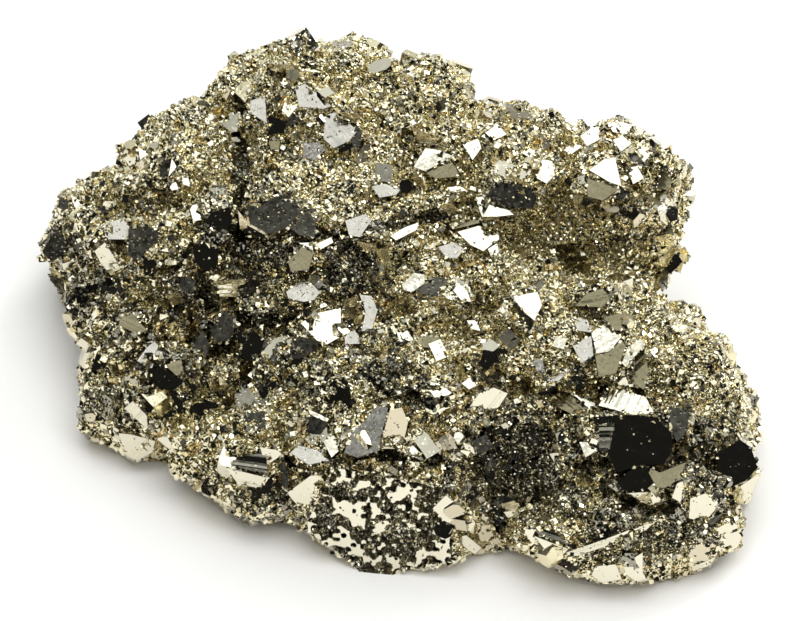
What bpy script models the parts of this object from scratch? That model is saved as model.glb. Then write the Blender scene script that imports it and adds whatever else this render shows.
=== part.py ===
"""A cluster of intergrown pyrite crystals, resting on its flat broken underside."""

import math

import bpy
import bmesh
import numpy as np
from mathutils import Euler, Matrix, Vector
from mathutils.bvhtree import BVHTree

# Lengths are in millimetres here and are turned into metres when the meshes are made.
MM = 0.001

# The cluster is shown from in front and above: crystals are placed on a display plane
# that faces this elevation, with across to the right and up along the plane.
VIEW_ELEVATION = 45.0

# A cube has its faces at 1 from the centre. Pyrite's twelve five-sided faces cut its edges
# where they lie this far out, and an octahedron's eight faces cut its corners.
PYRITE_CUT = 1.22
CORNER_CUT = 1.38

# A lump has this many faces, spread evenly round it by the golden angle. Each is turned
# by up to this much, in radians, and lies at a distance within this range.
LUMP_FACES = 18
GOLDEN_ANGLE = 2.39996
LUMP_TURN = 0.35
LUMP_DISTANCE = (0.86, 1.06)

# Lumps of the body: name, form, centre (x, y, z), half sizes, rotation (x, y, z).
LUMPS = [
    ("main body", "boulder1", (-6, -8, 16), (32, 25, 19), (14, 0, 0)),
    ("upper left slope", "boulder2", (-29.6, 3.4, 24.2), (13.4, 11, 13.2), (10, -10, 0)),
    ("peak", "boulder3", (-14, 9, 30), (15, 12, 15), (20, 0, 0)),
    ("mid crest", "boulder4", (0, 8, 29), (12, 11, 15), (15, 5, 30)),
    ("central block", "cut_cube", (-5, -4, 31), (17, 11, 8), (16, 5, 4)),
    ("left of block", "boulder5", (-29, -8, 20.5), (12, 13, 12), (10, 0, 0)),
    ("right crest", "boulder6", (19, -3, 28), (13, 12, 14), (10, 10, 0)),
    ("top right lobe", "boulder7", (33, -9, 31.5), (9.2, 9, 13), (0, 0, 20)),
    ("right shoulder", "boulder8", (27, -30, 21), (18, 12, 12), (20, 10, 0)),
    ("right massif", "boulder19", (40, -37, 13), (13, 12, 13), (15, 8, 0)),
    ("below black crystal", "boulder20", (29, -46, 12), (10, 10, 11), (0, 0, 0)),
    ("right foot", "boulder10", (35, -53.5, 8), (16.5, 9, 8), (0, 0, 12)),
    ("centre", "boulder11", (2, -32, 15), (24, 15, 12), (14, 0, 0)),
    ("centre right", "boulder12", (14, -22, 22), (12, 13, 11), (14, 0, 0)),
    ("left lobe", "boulder14", (-36.8, -9, 14), (13.8, 17, 12), (10, -10, 0)),
    ("left front", "boulder13", (-33, -27, 9), (15, 10, 9), (15, 0, 0)),
    ("left tip", "boulder18", (-43.5, 0.5, 15.5), (9.5, 10, 10), (0, 0, 0)),
    ("left foot", "boulder15", (-18, -41, 10), (13, 10, 9), (0, 0, 0)),
    ("back", "boulder16", (-4, 8, 14), (32, 16, 15), (0, 0, 0)),
    ("right back", "boulder17", (26, -20, 13), (12.5, 14, 13), (0, 0, 0)),
    ("crest knob", "boulder21", (-7, 14, 38), (6, 5, 5.5), (0, 0, 0)),
    ("massif shoulder", "boulder22", (42.5, -32, 17.5), (9.5, 7.5, 7.5), (0, 0, 0)),
]

# Large crystals: name, form, centre of the leading face as (across, up, height), half
# sizes, (azimuth, elevation) that the face looks to, and the roll about it.
BIG_CRYSTALS = [
    ("big pitted crystal", "pyrite", (-2.4, -29.8, 14.5), (15.5, 15.5, 13), (-8, 13), -7),
    ("dark rough crystal", "pyrite_cube", (15.8, -25.6, 15.5), (9.6, 11.5, 9), (5, 25), 8),
    ("massif crystal", "pyrite_cube", (44, -12.5, 25), (7.5, 7, 9), (8, 48), 12),
    ("black crystal", "cube", (35, -20.6, 21.5), (5.8, 5.2, 7), (-4, 25), 6),
    ("right black crystal", "pyrite", (49, -23, 16), (6, 6, 6), (30, 24), 20),
    ("left foot crystal", "pyrite", (-21, -28, 8), (5, 5, 5), (-20, 10), 30),
]

# Crystals on the front: form, (across, up), size, (azimuth, elevation) of the leading
# face, roll about it, and how far it stands proud.
CRYSTALS = [
    # left tip and the left rim
    ("octahedron", (-51.5, 10), 3.4, (-35, 30), 20, 2.0),
    ("cube", (-41.5, 22.6), 2.3, (-50, 20), 30, 1.6),
    ("cube", (-44.5, 19), 2.4, (-30, 60), 20, 1.4),
    ("pyrite", (-47.8, 14.4), 2.6, (-40, 45), 0, 1.5),
    ("pyrite", (-46, 17), 2.2, (10, 30), 50, 1.0),
    ("pyrite", (-43.2, 12.2), 2.8, (-10, 70), 10, 0.8),
    ("cube", (-45.2, 8.8), 2.4, (-15, 5), 35, 1.0),
    ("octahedron", (-50.5, 4.5), 2.6, (-45, 25), 70, 1.0),
    ("cube", (-47.5, 0.5), 2.4, (-50, 15), 15, 1.0),
    ("cube", (-46.6, -5.3), 2.2, (-40, 10), 45, 1.8),
    # left slope
    ("cube", (-35.4, 21.6), 2.6, (-25, 35), 40, 1.4),
    ("pyrite", (-32.8, 19.6), 2.0, (20, 72), 0, 1.0),
    ("cube", (-38.5, 16), 2.6, (-20, 55), 10, 0.8),
    ("pyrite", (-27.4, 14), 3.8, (-12, 28), 15, 1.8),
    ("cube", (-29.7, 8.4), 3.4, (-15, 30), 35, 1.6),
    ("pyrite", (-34, 9.5), 3.0, (15, 50), 40, 1.0),
    ("pyrite", (-38.6, 7), 2.8, (-30, 35), 10, 1.0),
    ("cube", (-32, 3.6), 2.8, (10, 25), 25, 1.2),
    ("cube", (-25.8, 3.6), (2.6, 2.0, 2.4), (15, 15), 4, 1.4),
    ("pyrite", (-26.8, -3.4), 4.6, (-10, 35), 30, 1.6),
    ("octahedron", (-22.2, -4.9), 3.0, (0, 40), 40, 1.0),
    ("cube", (-40.2, -2.6), (3.4, 2.2, 2.6), (-30, 30), 30, 1.2),
    ("pyrite", (-34.5, -1.5), 3.4, (-20, 55), 0, 1.0),
    ("pyrite", (-43.8, 3.5), 2.8, (-35, 50), 30, 1.0),
    # left lobe, lower
    ("cube", (-40, -7.2), 2.5, (20, 10), 42, 1.8),
    ("cube", (-34.4, -9.6), (4.0, 2.9, 3.4), (-5, 30), 5, 1.6),
    ("pyrite", (-45.6, -9), 2.8, (-40, 30), 10, 1.2),
    ("pyrite", (-39.2, -13.6), 3.6, (-15, 35), 20, 1.4),
    ("cube", (-45.3, -14.5), 3.0, (-40, 30), 25, 1.0),
    ("cube", (-40, -18), (3.6, 2.6, 3.0), (-20, 20), 60, 1.4),
    ("pyrite", (-39, -20.6), 3.4, (-30, -6), 0, 1.2),
    ("cube", (-34.8, -19.6), 2.4, (-10, 0), 45, 1.0),
    ("pyrite", (-29.5, -15.5), 4.4, (-10, 45), 10, 1.0),
    ("cube", (-26.2, -11.6), 2.4, (10, 5), 15, 1.2),
    ("cube", (-30.2, -22), 3.0, (-20, 20), 35, 1.2),
    ("cube", (-22.6, -23), (4.0, 2.6, 3.2), (-10, 15), 172, 1.6),
    ("pyrite", (-20.6, -19.2), 3.0, (25, 5), 20, 1.4),
    # upper left
    ("cube", (-14.6, 32), (4.2, 2.8, 4.2), (-14, 64), -24, 1.4),
    ("cube", (-9.6, 27.8), 3.2, (-14, 62), 40, 2.0),
    ("pyrite", (-18.4, 36.2), 3.8, (0, 75), 0, 1.0),
    ("pyrite", (-21.8, 29.6), 2.8, (-20, 65), 10, 1.2),
    ("cube", (-16.2, 39), 2.6, (0, 55), 15, 1.0),
    ("pyrite", (-8.6, 38), 3.4, (5, 60), 10, 1.6),
    ("pyrite", (-22, 37.5), 2.6, (-30, 60), 40, 1.0),
    ("pyrite", (-27.5, 32.5), 3.2, (-30, 62), 0, 1.2),
    ("cube", (-33, 28.6), 2.8, (-40, 55), 20, 1.2),
    ("pyrite", (-29, 26), 3.0, (-10, 60), 30, 1.0),
    ("cube", (-24, 22), 3.0, (-20, 50), 20, 0.8),
    # crest, centre
    ("pyrite", (-2.5, 35), 3.6, (10, 68), 20, 1.2),
    ("pyrite", (3.5, 36.6), 3.4, (0, 70), 0, 1.4),
    ("cube", (6, 34.2), 2.8, (30, 55), 15, 0.8),
    ("cube", (8, 30.4), 2.4, (30, 50), 35, 0.8),
    ("pyrite", (-6, 31.8), 2.6, (10, 55), 40, 1.0),
    ("cube", (4.6, 24.4), (3.8, 3.2, 3.8), (-20, 60), 30, 1.8),
    ("cube", (10, 24.4), 2.4, (20, 50), 40, 1.6),
    ("pyrite", (13.4, 27.2), 2.6, (0, 72), 10, 1.0),
    ("cube", (0.2, 30), 2.6, (-10, 65), 30, 1.0),
    ("pyrite", (-2.6, 24.5), 3.4, (-5, 60), 0, 0.8),
    # central block
    ("pyrite", (-19.3, 14), 5.6, (-8, 26), 10, 2.0),
    ("pyrite", (-13.4, 20), 3.6, (0, 55), 25, 1.0),
    ("cube", (-9, 16.5), 2.8, (-10, 50), 20, 1.2),
    ("pyrite", (-5.2, 19.6), 2.8, (10, 70), 30, 1.0),
    ("cube", (6.6, 14.8), 2.6, (-10, 40), 12, 1.2),
    ("pyrite", (0.6, 15.2), 2.8, (5, 62), 10, 1.0),
    # right crest and lobe
    ("pyrite", (17, 17.6), 4.6, (-4, 34), 5, 1.8),
    ("cube", (20.6, 21), 2.8, (20, 66), 30, 1.6),
    ("pyrite", (26, 24.5), 3.2, (-10, 60), 20, 1.2),
    ("cube", (31, 21), (3.6, 3.0, 3.6), (25, 64), -14, 1.6),
    ("pyrite", (33, 26.8), 3.2, (10, 70), 0, 1.2),
    ("cube", (37, 23), 3.0, (30, 66), 30, 1.2),
    ("octahedron", (39.6, 19.4), 3.0, (10, 30), 180, 1.4),
    ("cube", (40, 16.2), 2.6, (60, 20), 30, 0.8),
    ("octahedron", (39.4, 11.6), 2.8, (30, 25), 10, 0.9),
    ("cube", (39.2, 6.8), 3.8, (30, 0), 40, 1.0),
    ("pyrite", (35.5, 14), 3.2, (10, 20), 30, 1.0),
    ("pyrite", (29.5, 13), 3.4, (-15, 15), 0, 1.0),
    ("cube", (17.6, 28.8), 2.4, (0, 60), 12, 0.8),
    ("pyrite", (22.6, 28), 2.8, (-10, 66), 30, 1.0),
    # middle
    ("cube", (12.2, 11.6), (4.2, 3.0, 4.0), (24, 72), 24, 2.0),
    ("cube", (14.8, 15.6), 2.8, (10, 75), 20, 1.4),
    ("cube", (8.6, 8.8), 2.4, (-20, 60), 30, 1.4),
    ("cube", (0.4, 11.6), 2.6, (10, 72), 30, 1.4),
    ("cube", (-3.8, 9.6), 2.8, (-10, 8), 30, 1.2),
    ("cube", (-14.4, 4), (3.2, 2.4, 3.0), (-20, 68), 40, 1.2),
    ("cube", (-12.4, -2), (3.6, 3.0, 4.0), (14, 64), 36, 2.4),
    ("pyrite", (-6.2, -1.4), 4.0, (-6, 66), 20, 2.2),
    ("cube", (1.8, 4.2), 2.4, (30, 68), 35, 2.0),
    ("cube", (1, -3.2), 2.4, (-20, 66), 20, 2.0),
    ("cube", (4.6, -2.6), 2.2, (10, 45), 12, 1.4),
    ("cube", (9.2, 2.6), 2.0, (30, 60), 30, 1.2),
    ("pyrite", (-16.5, -8), 3.6, (0, 40), 30, 1.2),
    ("pyrite", (-7.5, -9.5), 3.6, (10, 50), 10, 1.0),
    ("cube", (-1.5, -10), 3.0, (-10, 55), 25, 1.0),
    ("pyrite", (8, -7), 4.0, (5, 60), 0, 1.0),
    # right middle
    ("cube", (19, 0.6), 3.2, (22, 68), 38, 2.4),
    ("cube", (22.4, -8), 2.8, (10, 62), 15, 1.2),
    ("cube", (29.4, 1.4), (4.0, 2.4, 3.0), (-10, 40), 12, 1.4),
    ("cube", (31.4, -5.6), (3.4, 4.4, 3.4), (-22, 58), 22, 2.6),
    ("cube", (35.6, -6.6), (2.6, 3.4, 2.6), (30, 52), 24, 1.8),
    ("cube", (26.6, -14.2), (3.6, 2.6, 3.0), (-10, 40), 40, 1.4),
    ("cube", (12.8, -13.6), (3.6, 3.6, 3.4), (-20, 62), 20, 1.8),
    ("cube", (6.2, -12.4), 2.6, (10, 60), 12, 1.2),
    ("pyrite", (22, 6.5), 3.6, (10, 66), 10, 1.0),
    ("pyrite", (27, -20), 3.6, (-20, 30), 10, 1.2),
    # pocket above the big pitted crystal
    ("cube", (-4.4, -17), (5.0, 3.6, 4.6), (-12, 70), 14, 1.0),
    ("pyrite", (-11.2, -19.6), 4.0, (10, 62), 0, 1.2),
    ("cube", (-12.2, -15), 2.2, (20, 72), 30, 1.4),
    ("cube", (2.6, -20.4), 2.4, (20, 66), 20, 1.6),
    ("cube", (-17, -14.5), 2.6, (10, 50), 30, 1.2),
    # right foot and massif
    ("cube", (36.6, -28.4), (3.4, 2.0, 2.6), (-6, 4), 10, 1.2),
    ("cube", (41.2, -28.6), (2.2, 4.0, 2.6), (-40, 10), 10, 1.6),
    ("pyrite", (45.6, -30), 3.4, (-14, 2), 20, 1.4),
    ("cube", (49, -27), (3.6, 3.0, 3.0), (18, 2), 20, 1.2),
    ("pyrite", (33, -39.4), 4.2, (-10, -4), 10, 1.4),
    ("cube", (48.6, -34.8), 3.0, (25, 5), 12, 0.8),
    ("pyrite", (45.6, -36), 3.4, (10, 10), 40, 0.8),
    ("cube", (29, -34), (5.5, 2.4, 3.0), (-20, 20), 20, 1.2),
    ("cube", (22.2, -34.6), (3.6, 2.2, 2.8), (-10, 12), 172, 1.6),
    ("pyrite", (8.4, -30.4), 3.8, (-14, 4), 20, 1.2),
    ("cube", (11, -33.6), 3.0, (10, 0), 25, 0.8),
    ("pyrite_cube", (44, -10), (5.5, 4.5, 4.5), (0, 48), 10, 1.4),
    ("cube", (47.6, -14.6), (3.4, 4.6, 3.6), (28, 42), 6, 0.8),
    # between the larger ones
    ("pyrite", (-22, 9), 3.4, (-15, 45), 0, 0.8),
    ("cube", (-17.5, 7.6), 2.8, (10, 30), 20, 0.8),
    ("pyrite", (-11.5, 9.5), 3.0, (0, 60), 30, 0.8),
    ("cube", (-8.5, 5.5), 3.0, (-20, 35), 40, 0.8),
    ("octahedron", (-3.5, 5), 2.8, (10, 30), 0, 0.8),
    ("cube", (-21.5, 3), 3.0, (-10, 50), 15, 0.8),
    ("pyrite", (-20, -1.5), 3.2, (5, 25), 20, 0.8),
    ("cube", (-19.5, -7), 2.8, (-20, 55), 35, 0.8),
    ("pyrite", (-24.5, -9), 3.0, (-10, 40), 50, 0.8),
    ("cube", (-22, -14), 3.0, (-10, 60), 10, 0.8),
    ("pyrite", (-12, -6.4), 2.6, (10, 45), 0, 0.8),
    ("cube", (-10, -12.6), 2.6, (-20, 40), 25, 0.8),
    ("pyrite", (-3, -6.3), 3.0, (-10, 30), 30, 0.6),
    ("cube", (5.5, 2), 3.0, (-15, 55), 15, 0.8),
    ("pyrite", (5, 7), 2.8, (20, 60), 0, 0.8),
    ("cube", (14, 5), 3.2, (0, 60), 30, 0.8),
    ("pyrite", (13, -1), 3.2, (-10, 70), 20, 0.8),
    ("cube", (13, -8.2), 3.2, (15, 50), 10, 0.8),
    ("pyrite", (17.5, -6), 3.0, (5, 62), 45, 0.8),
    ("cube", (18, -12), 3.0, (10, 45), 20, 0.8),
    ("pyrite", (24, -3.5), 3.4, (-5, 66), 10, 0.8),
    ("cube", (26.5, -9.2), 3.0, (0, 25), 15, 0.8),
    ("pyrite", (17.5, 9.5), 3.2, (10, 70), 30, 0.8),
    ("cube", (23.5, 13), 3.0, (-15, 40), 20, 0.8),
    ("cube", (27.5, 6.6), (4.6, 3.4, 3.0), (10, 58), -30, 0.6),
    ("cube", (33, 4), (4.6, 3.2, 3.0), (10, 60), -32, 0.6),
    ("pyrite", (38, -1.4), 3.2, (20, 55), 10, 0.6),
    ("cube", (39.5, -5), 3.0, (10, 60), 30, 0.8),
    ("pyrite", (45, -6), 3.2, (20, 60), 0, 0.6),
    ("cube", (41, -18), 3.0, (-10, 40), 20, 0.8),
    ("pyrite", (43, -23), 3.2, (-20, 30), 30, 0.8),
    ("pyrite", (26, -31), 3.0, (5, 20), 0, 0.8),
    ("cube", (39.5, -34), 3.2, (0, 25), 15, 0.6),
    ("pyrite", (-27.5, -26), 3.2, (-15, 20), 20, 0.6),
    ("cube", (-32.6, -22.6), 2.8, (-25, 10), 20, 0.8),
    ("pyrite", (-14, -29.5), 2.8, (-10, 15), 0, 0.6),
    ("cube", (-17, -24), 2.4, (-10, 25), 30, 0.8),
    ("pyrite", (-38, 23.4), 2.6, (-35, 55), 0, 0.6),
    ("cube", (-25.6, 27.6), 2.6, (0, 62), 20, 0.6),
    ("pyrite", (-25.5, 34.6), 2.6, (-15, 60), 20, 0.6),
    ("pyrite", (-41, 19), 2.4, (-20, 40), 40, 0.8),
]

# Crystals on the hidden sides, seated level towards the axis: form, (bearing, height),
# size, (azimuth, elevation) of the leading face, roll about it, stand-out.
# A bearing of 0 is the front, 90 the right and 180 the back.
AXIS = (-4, -18)
BACK_CRYSTALS = [
    ("pyrite", (100, 12), 4.6, (100, 20), 10, 1.2),
    ("cube", (112, 20), 3.6, (95, 35), 30, 1.2),
    ("cut_cube", (122, 10), 4.4, (130, 10), 20, 1.4),
    ("cube", (128, 26), 3.4, (120, 40), 45, 1.2),
    ("pyrite", (138, 16), 5.0, (140, 25), 0, 1.4),
    ("cube", (146, 32), 3.6, (150, 45), 20, 1.2),
    ("cube", (150, 8), 4.0, (160, 5), 35, 1.4),
    ("pyrite", (158, 24), 4.6, (150, 35), 40, 1.2),
    ("cube", (166, 14), 3.6, (175, 20), 10, 1.2),
    ("octahedron", (170, 35), 3.4, (170, 55), 20, 1.0),
    ("cut_cube", (176, 24), 5.2, (185, 30), 30, 1.6),
    ("pyrite", (182, 9), 4.2, (180, 5), 15, 1.2),
    ("cube", (188, 33), 3.4, (200, 50), 40, 1.2),
    ("pyrite", (193, 18), 4.4, (190, 20), 0, 1.2),
    ("cube", (200, 28), 4.0, (205, 40), 25, 1.2),
    ("cube", (206, 9), 4.2, (215, 10), 45, 1.4),
    ("pyrite", (212, 20), 4.8, (210, 30), 20, 1.4),
    ("cube", (219, 30), 3.4, (225, 50), 10, 1.0),
    ("cut_cube", (226, 13), 4.2, (235, 20), 35, 1.4),
    ("pyrite", (234, 23), 3.8, (230, 35), 50, 1.2),
    ("cube", (242, 10), 3.4, (250, 15), 20, 1.2),
    ("pyrite", (250, 18), 3.6, (245, 35), 0, 1.2),
    ("cube", (258, 9), 2.8, (265, 10), 40, 0.4),
    ("pyrite", (268, 15), 2.8, (270, 30), 15, 0.4),
    ("cube", (278, 7), 3.2, (285, 5), 30, 1.2),
    ("pyrite", (288, 12), 3.2, (290, 20), 40, 1.0),
    ("cube", (92, 6), 3.8, (85, 5), 20, 1.2),
    ("cube", (74, 12), 3.6, (80, 20), 40, 1.2),
    ("pyrite", (66, 7), 4.0, (70, 5), 10, 1.2),
    ("cube", (82, 22), 3.4, (90, 40), 25, 1.2),
    ("pyrite", (108, 30), 3.4, (110, 40), 0, 1.0),
    ("cube", (117, 38), 3.2, (115, 50), 35, 1.0),
]

# The underside is broken off flat at this height, and stands on the ground.
BASE_HEIGHT = 3.0
CUTTER_HALF = (100, 100, 30)

# A form is cut from a block of this size, before it is scaled.
BLOCK_SIZE = 5.0

# A ray that looks for the body starts this far out.
FAR = 200.0

# Edges shorter than this are closed up, and faces within this angle are one face.
SHORT_EDGE = 0.002
FLAT_ANGLE = math.radians(0.3)

# ---- end of the dimensions


def cube_planes():
    """The six faces of a cube, as (nx, ny, nz, distance)."""
    normals = [(0, 0, 1), (0, 0, -1), (1, 0, 0), (-1, 0, 0), (0, 1, 0), (0, -1, 0)]
    return [normal + (1.0,) for normal in normals]


def pyritohedron_planes(distance):
    """The twelve five-sided faces of pyrite's own form."""
    planes = []
    for a in (1, -1):
        for b in (2, -2):
            for cycle in ((0, a, b), (b, 0, a), (a, b, 0)):
                planes.append(tuple(value / math.sqrt(5.0) for value in cycle) + (distance,))
    return planes


def octahedron_planes(distance):
    """The eight faces of an octahedron."""
    planes = []
    for a in (1, -1):
        for b in (1, -1):
            for c in (1, -1):
                planes.append(tuple(value / math.sqrt(3.0) for value in (a, b, c)) + (distance,))
    return planes


def boulder_planes(seed):
    """Faces of an uneven lump."""
    rng = np.random.default_rng(seed)
    planes = []
    for face in range(LUMP_FACES):
        z = 1.0 - 2.0 * (face + 0.5) / LUMP_FACES
        turn = GOLDEN_ANGLE * face + rng.uniform(-LUMP_TURN, LUMP_TURN)
        ring = math.sqrt(1.0 - z * z)
        planes.append((ring * math.cos(turn), ring * math.sin(turn), z, rng.uniform(*LUMP_DISTANCE)))
    return planes


def form_planes(form):
    """Faces of a crystal form or lump as (nx, ny, nz, distance), the leading face first."""
    if form == "cube":
        return cube_planes()
    if form == "cut_cube":
        return cube_planes() + octahedron_planes(CORNER_CUT)
    if form == "pyrite":
        return pyritohedron_planes(1.0)
    if form == "pyrite_cube":
        return cube_planes() + pyritohedron_planes(PYRITE_CUT)
    if form == "octahedron":
        return octahedron_planes(1.0)
    return boulder_planes(int(form.removeprefix("boulder")))


def form_distance(planes, half):
    """Distance of the leading face from the centre once the form is scaled."""
    nx, ny, nz, distance = planes[0]
    return distance / math.hypot(nx / half[0], ny / half[1], nz / half[2])


def half_sizes(size):
    """Half sizes along three axes from one number or three."""
    return tuple(size) if isinstance(size, tuple) else (size, size, size)


def facing(azimuth, elevation):
    """Unit vector that looks to an azimuth (0 is the front) and an elevation."""
    turn = math.radians(azimuth)
    tilt = math.radians(elevation)
    return Vector((math.sin(turn) * math.cos(tilt), -math.cos(turn) * math.cos(tilt), math.sin(tilt)))


def axes_about(normal, roll):
    """Right-handed axes whose third axis is the normal, rolled about it."""
    normal = normal.normalized()
    reference = Vector((0, 0, 1)) if abs(normal.z) < 0.95 else Vector((0, 1, 0))
    side = reference.cross(normal).normalized()
    up = normal.cross(side)
    turn = math.radians(roll)
    side = side * math.cos(turn) + up * math.sin(turn)
    up = normal.cross(side)
    return Matrix((side, up, normal)).transposed()


def crystal_rotation(planes, half, azimuth, elevation, roll):
    """Rotation that turns the leading face of a form to the wanted direction."""
    nx, ny, nz, _ = planes[0]
    lead = Vector((nx / half[0], ny / half[1], nz / half[2]))
    return axes_about(facing(azimuth, elevation), roll) @ axes_about(lead, 0).transposed()


def cleave(planes, half):
    """Mesh of a convex form: a block with everything outside each plane cut away."""
    bm = bmesh.new()
    bmesh.ops.create_cube(bm, size=BLOCK_SIZE)
    for nx, ny, nz, distance in planes:
        normal = Vector((nx, ny, nz))
        everything = bm.verts[:] + bm.edges[:] + bm.faces[:]
        cut = bmesh.ops.bisect_plane(
            bm, geom=everything, plane_co=normal * distance, plane_no=normal, clear_outer=True)
        rim = [item for item in cut["geom_cut"] if isinstance(item, bmesh.types.BMEdge)]
        if rim:
            bmesh.ops.contextual_create(bm, geom=rim)
    bmesh.ops.scale(bm, vec=half, verts=bm.verts[:])
    bmesh.ops.triangulate(bm, faces=bm.faces[:])
    bmesh.ops.recalc_face_normals(bm, faces=bm.faces[:])
    return bm


def add_piece(name, planes, half, rotation, centre):
    """Object of one convex form, placed in the cluster."""
    bm = cleave(planes, half)
    mesh = bpy.data.meshes.new(name)
    bm.to_mesh(mesh)
    bm.free()
    mesh.transform(Matrix.Translation(centre) @ rotation.to_4x4())
    piece = bpy.data.objects.new(name, mesh)
    bpy.context.scene.collection.objects.link(piece)
    return piece


def display_axes():
    """Directions along the display plane's up and towards the viewer."""
    tilt = math.radians(VIEW_ELEVATION)
    up = Vector((0, math.sin(tilt), math.cos(tilt)))
    towards = Vector((0, -math.cos(tilt), math.sin(tilt)))
    return up, towards


def add_crystal(name, form, face_centre, size, azimuth, elevation, roll):
    """Crystal whose leading face is centred on a point and looks to a direction."""
    planes = form_planes(form)
    half = half_sizes(size)
    rotation = crystal_rotation(planes, half, azimuth, elevation, roll)
    centre = face_centre - facing(azimuth, elevation) * form_distance(planes, half)
    return add_piece(name, planes, half, rotation, centre)


def add_body():
    """The lumps and large crystals that carry everything else."""
    pieces = []
    for name, form, centre, half, turns in LUMPS:
        rotation = Euler([math.radians(turn) for turn in turns]).to_matrix()
        pieces.append(add_piece(name, form_planes(form), half, rotation, Vector(centre)))
    tilt = math.radians(VIEW_ELEVATION)
    for name, form, (across, up, height), size, (azimuth, elevation), roll in BIG_CRYSTALS:
        depth = up / math.sin(tilt) - height / math.tan(tilt)
        face_centre = Vector((across, depth, height))
        pieces.append(add_crystal(name, form, face_centre, size, azimuth, elevation, roll))
    return pieces


def surface_of(pieces):
    """Ray-casting tree over the meshes of several pieces."""
    verts = []
    polygons = []
    for piece in pieces:
        start = len(verts)
        verts += [vert.co.copy() for vert in piece.data.vertices]
        polygons += [[start + index for index in face.vertices] for face in piece.data.polygons]
    return BVHTree.FromPolygons(verts, polygons)


def add_front_crystals(rows, surface):
    """Crystals seated on the body from the display side."""
    up_axis, towards = display_axes()
    pieces = []
    for count, (form, (across, up), size, (azimuth, elevation), roll, proud) in enumerate(rows):
        start = Vector((across, 0, 0)) + up_axis * up + towards * FAR
        hit = surface.ray_cast(start, -towards)[0]
        if hit is None:
            raise ValueError("no body under front crystal %d at (%g, %g)" % (count, across, up))
        face_centre = hit + towards * proud
        name = "front crystal %d" % count
        pieces.append(add_crystal(name, form, face_centre, size, azimuth, elevation, roll))
    return pieces


def add_back_crystals(rows, surface):
    """Crystals seated on the body from the sides and the back."""
    pieces = []
    for count, (form, (bearing, height), size, (azimuth, elevation), roll, proud) in enumerate(rows):
        outward = facing(bearing, 0)
        start = Vector((AXIS[0], AXIS[1], height)) + outward * FAR
        hit = surface.ray_cast(start, -outward)[0]
        if hit is None:
            raise ValueError("no body under back crystal %d" % count)
        name = "back crystal %d" % count
        face_centre = hit + outward * proud
        pieces.append(add_crystal(name, form, face_centre, size, azimuth, elevation, roll))
    return pieces


def applied_mesh(thing, name):
    """The mesh of an object as its modifiers leave it."""
    graph = bpy.context.evaluated_depsgraph_get()
    mesh = bpy.data.meshes.new_from_object(thing.evaluated_get(graph))
    mesh.name = name
    return mesh


def grow_together(pieces, name):
    """One solid from all the pieces, by a Boolean union."""
    cluster = pieces[0]
    others = bpy.data.collections.new("intergrown")
    bpy.context.scene.collection.children.link(others)
    for piece in pieces[1:]:
        bpy.context.scene.collection.objects.unlink(piece)
        others.objects.link(piece)
    union = cluster.modifiers.new("grow together", "BOOLEAN")
    union.operation = "UNION"
    union.solver = "EXACT"
    union.operand_type = "COLLECTION"
    union.collection = others
    mesh = applied_mesh(cluster, name)
    for piece in pieces:
        bpy.data.objects.remove(piece)
    bpy.data.collections.remove(others)
    solid = bpy.data.objects.new(name, mesh)
    bpy.context.scene.collection.objects.link(solid)
    return solid


def break_off_underside(solid):
    """Cuts the solid flat at the base height."""
    block = cleave(cube_planes(), CUTTER_HALF)
    mesh = bpy.data.meshes.new("underside cutter")
    block.to_mesh(mesh)
    block.free()
    cutter = bpy.data.objects.new("underside cutter", mesh)
    cutter.location = (0, AXIS[1], BASE_HEIGHT - CUTTER_HALF[2])
    cutter.hide_render = True
    cutter.display_type = "WIRE"
    bpy.context.scene.collection.objects.link(cutter)
    cut = solid.modifiers.new("broken underside", "BOOLEAN")
    cut.operation = "DIFFERENCE"
    cut.solver = "EXACT"
    cut.object = cutter
    bpy.context.view_layer.update()
    solid.data = applied_mesh(solid, solid.name)
    solid.modifiers.remove(cut)
    bpy.data.objects.remove(cutter)


def keep_outer_shell(bm):
    """Deletes every separate shell except the largest."""
    unseen = set(bm.verts)
    shells = []
    while unseen:
        stack = [unseen.pop()]
        shell = [stack[0]]
        while stack:
            for edge in stack.pop().link_edges:
                for vert in edge.verts:
                    if vert in unseen:
                        unseen.discard(vert)
                        shell.append(vert)
                        stack.append(vert)
        shells.append(shell)
    shells.sort(key=len)
    for shell in shells[:-1]:
        bmesh.ops.delete(bm, geom=shell, context="VERTS")


def settle(solid):
    """Tidies the mesh, turns it into metres and stands it on the ground at the origin."""
    bm = bmesh.new()
    bm.from_mesh(solid.data)
    keep_outer_shell(bm)
    bmesh.ops.dissolve_degenerate(bm, dist=SHORT_EDGE, edges=bm.edges[:])
    bmesh.ops.dissolve_limit(bm, angle_limit=FLAT_ANGLE, verts=bm.verts[:], edges=bm.edges[:])
    bmesh.ops.triangulate(bm, faces=bm.faces[:])
    low = [min(vert.co[axis] for vert in bm.verts) for axis in range(3)]
    high = [max(vert.co[axis] for vert in bm.verts) for axis in range(3)]
    middle = Vector(((low[0] + high[0]) / 2, (low[1] + high[1]) / 2, low[2]))
    bmesh.ops.translate(bm, vec=-middle, verts=bm.verts[:])
    bmesh.ops.scale(bm, vec=(MM, MM, MM), verts=bm.verts[:])
    bmesh.ops.recalc_face_normals(bm, faces=bm.faces[:])
    bm.to_mesh(solid.data)
    bm.free()


def pyrite_material():
    """Pale brass-coloured metal."""
    material = bpy.data.materials.new("pyrite")
    material.use_nodes = True
    shader = material.node_tree.nodes["Principled BSDF"]
    shader.inputs["Base Color"].default_value = (0.80, 0.74, 0.58, 1.0)
    shader.inputs["Metallic"].default_value = 1.0
    shader.inputs["Roughness"].default_value = 0.22
    return material


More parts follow.
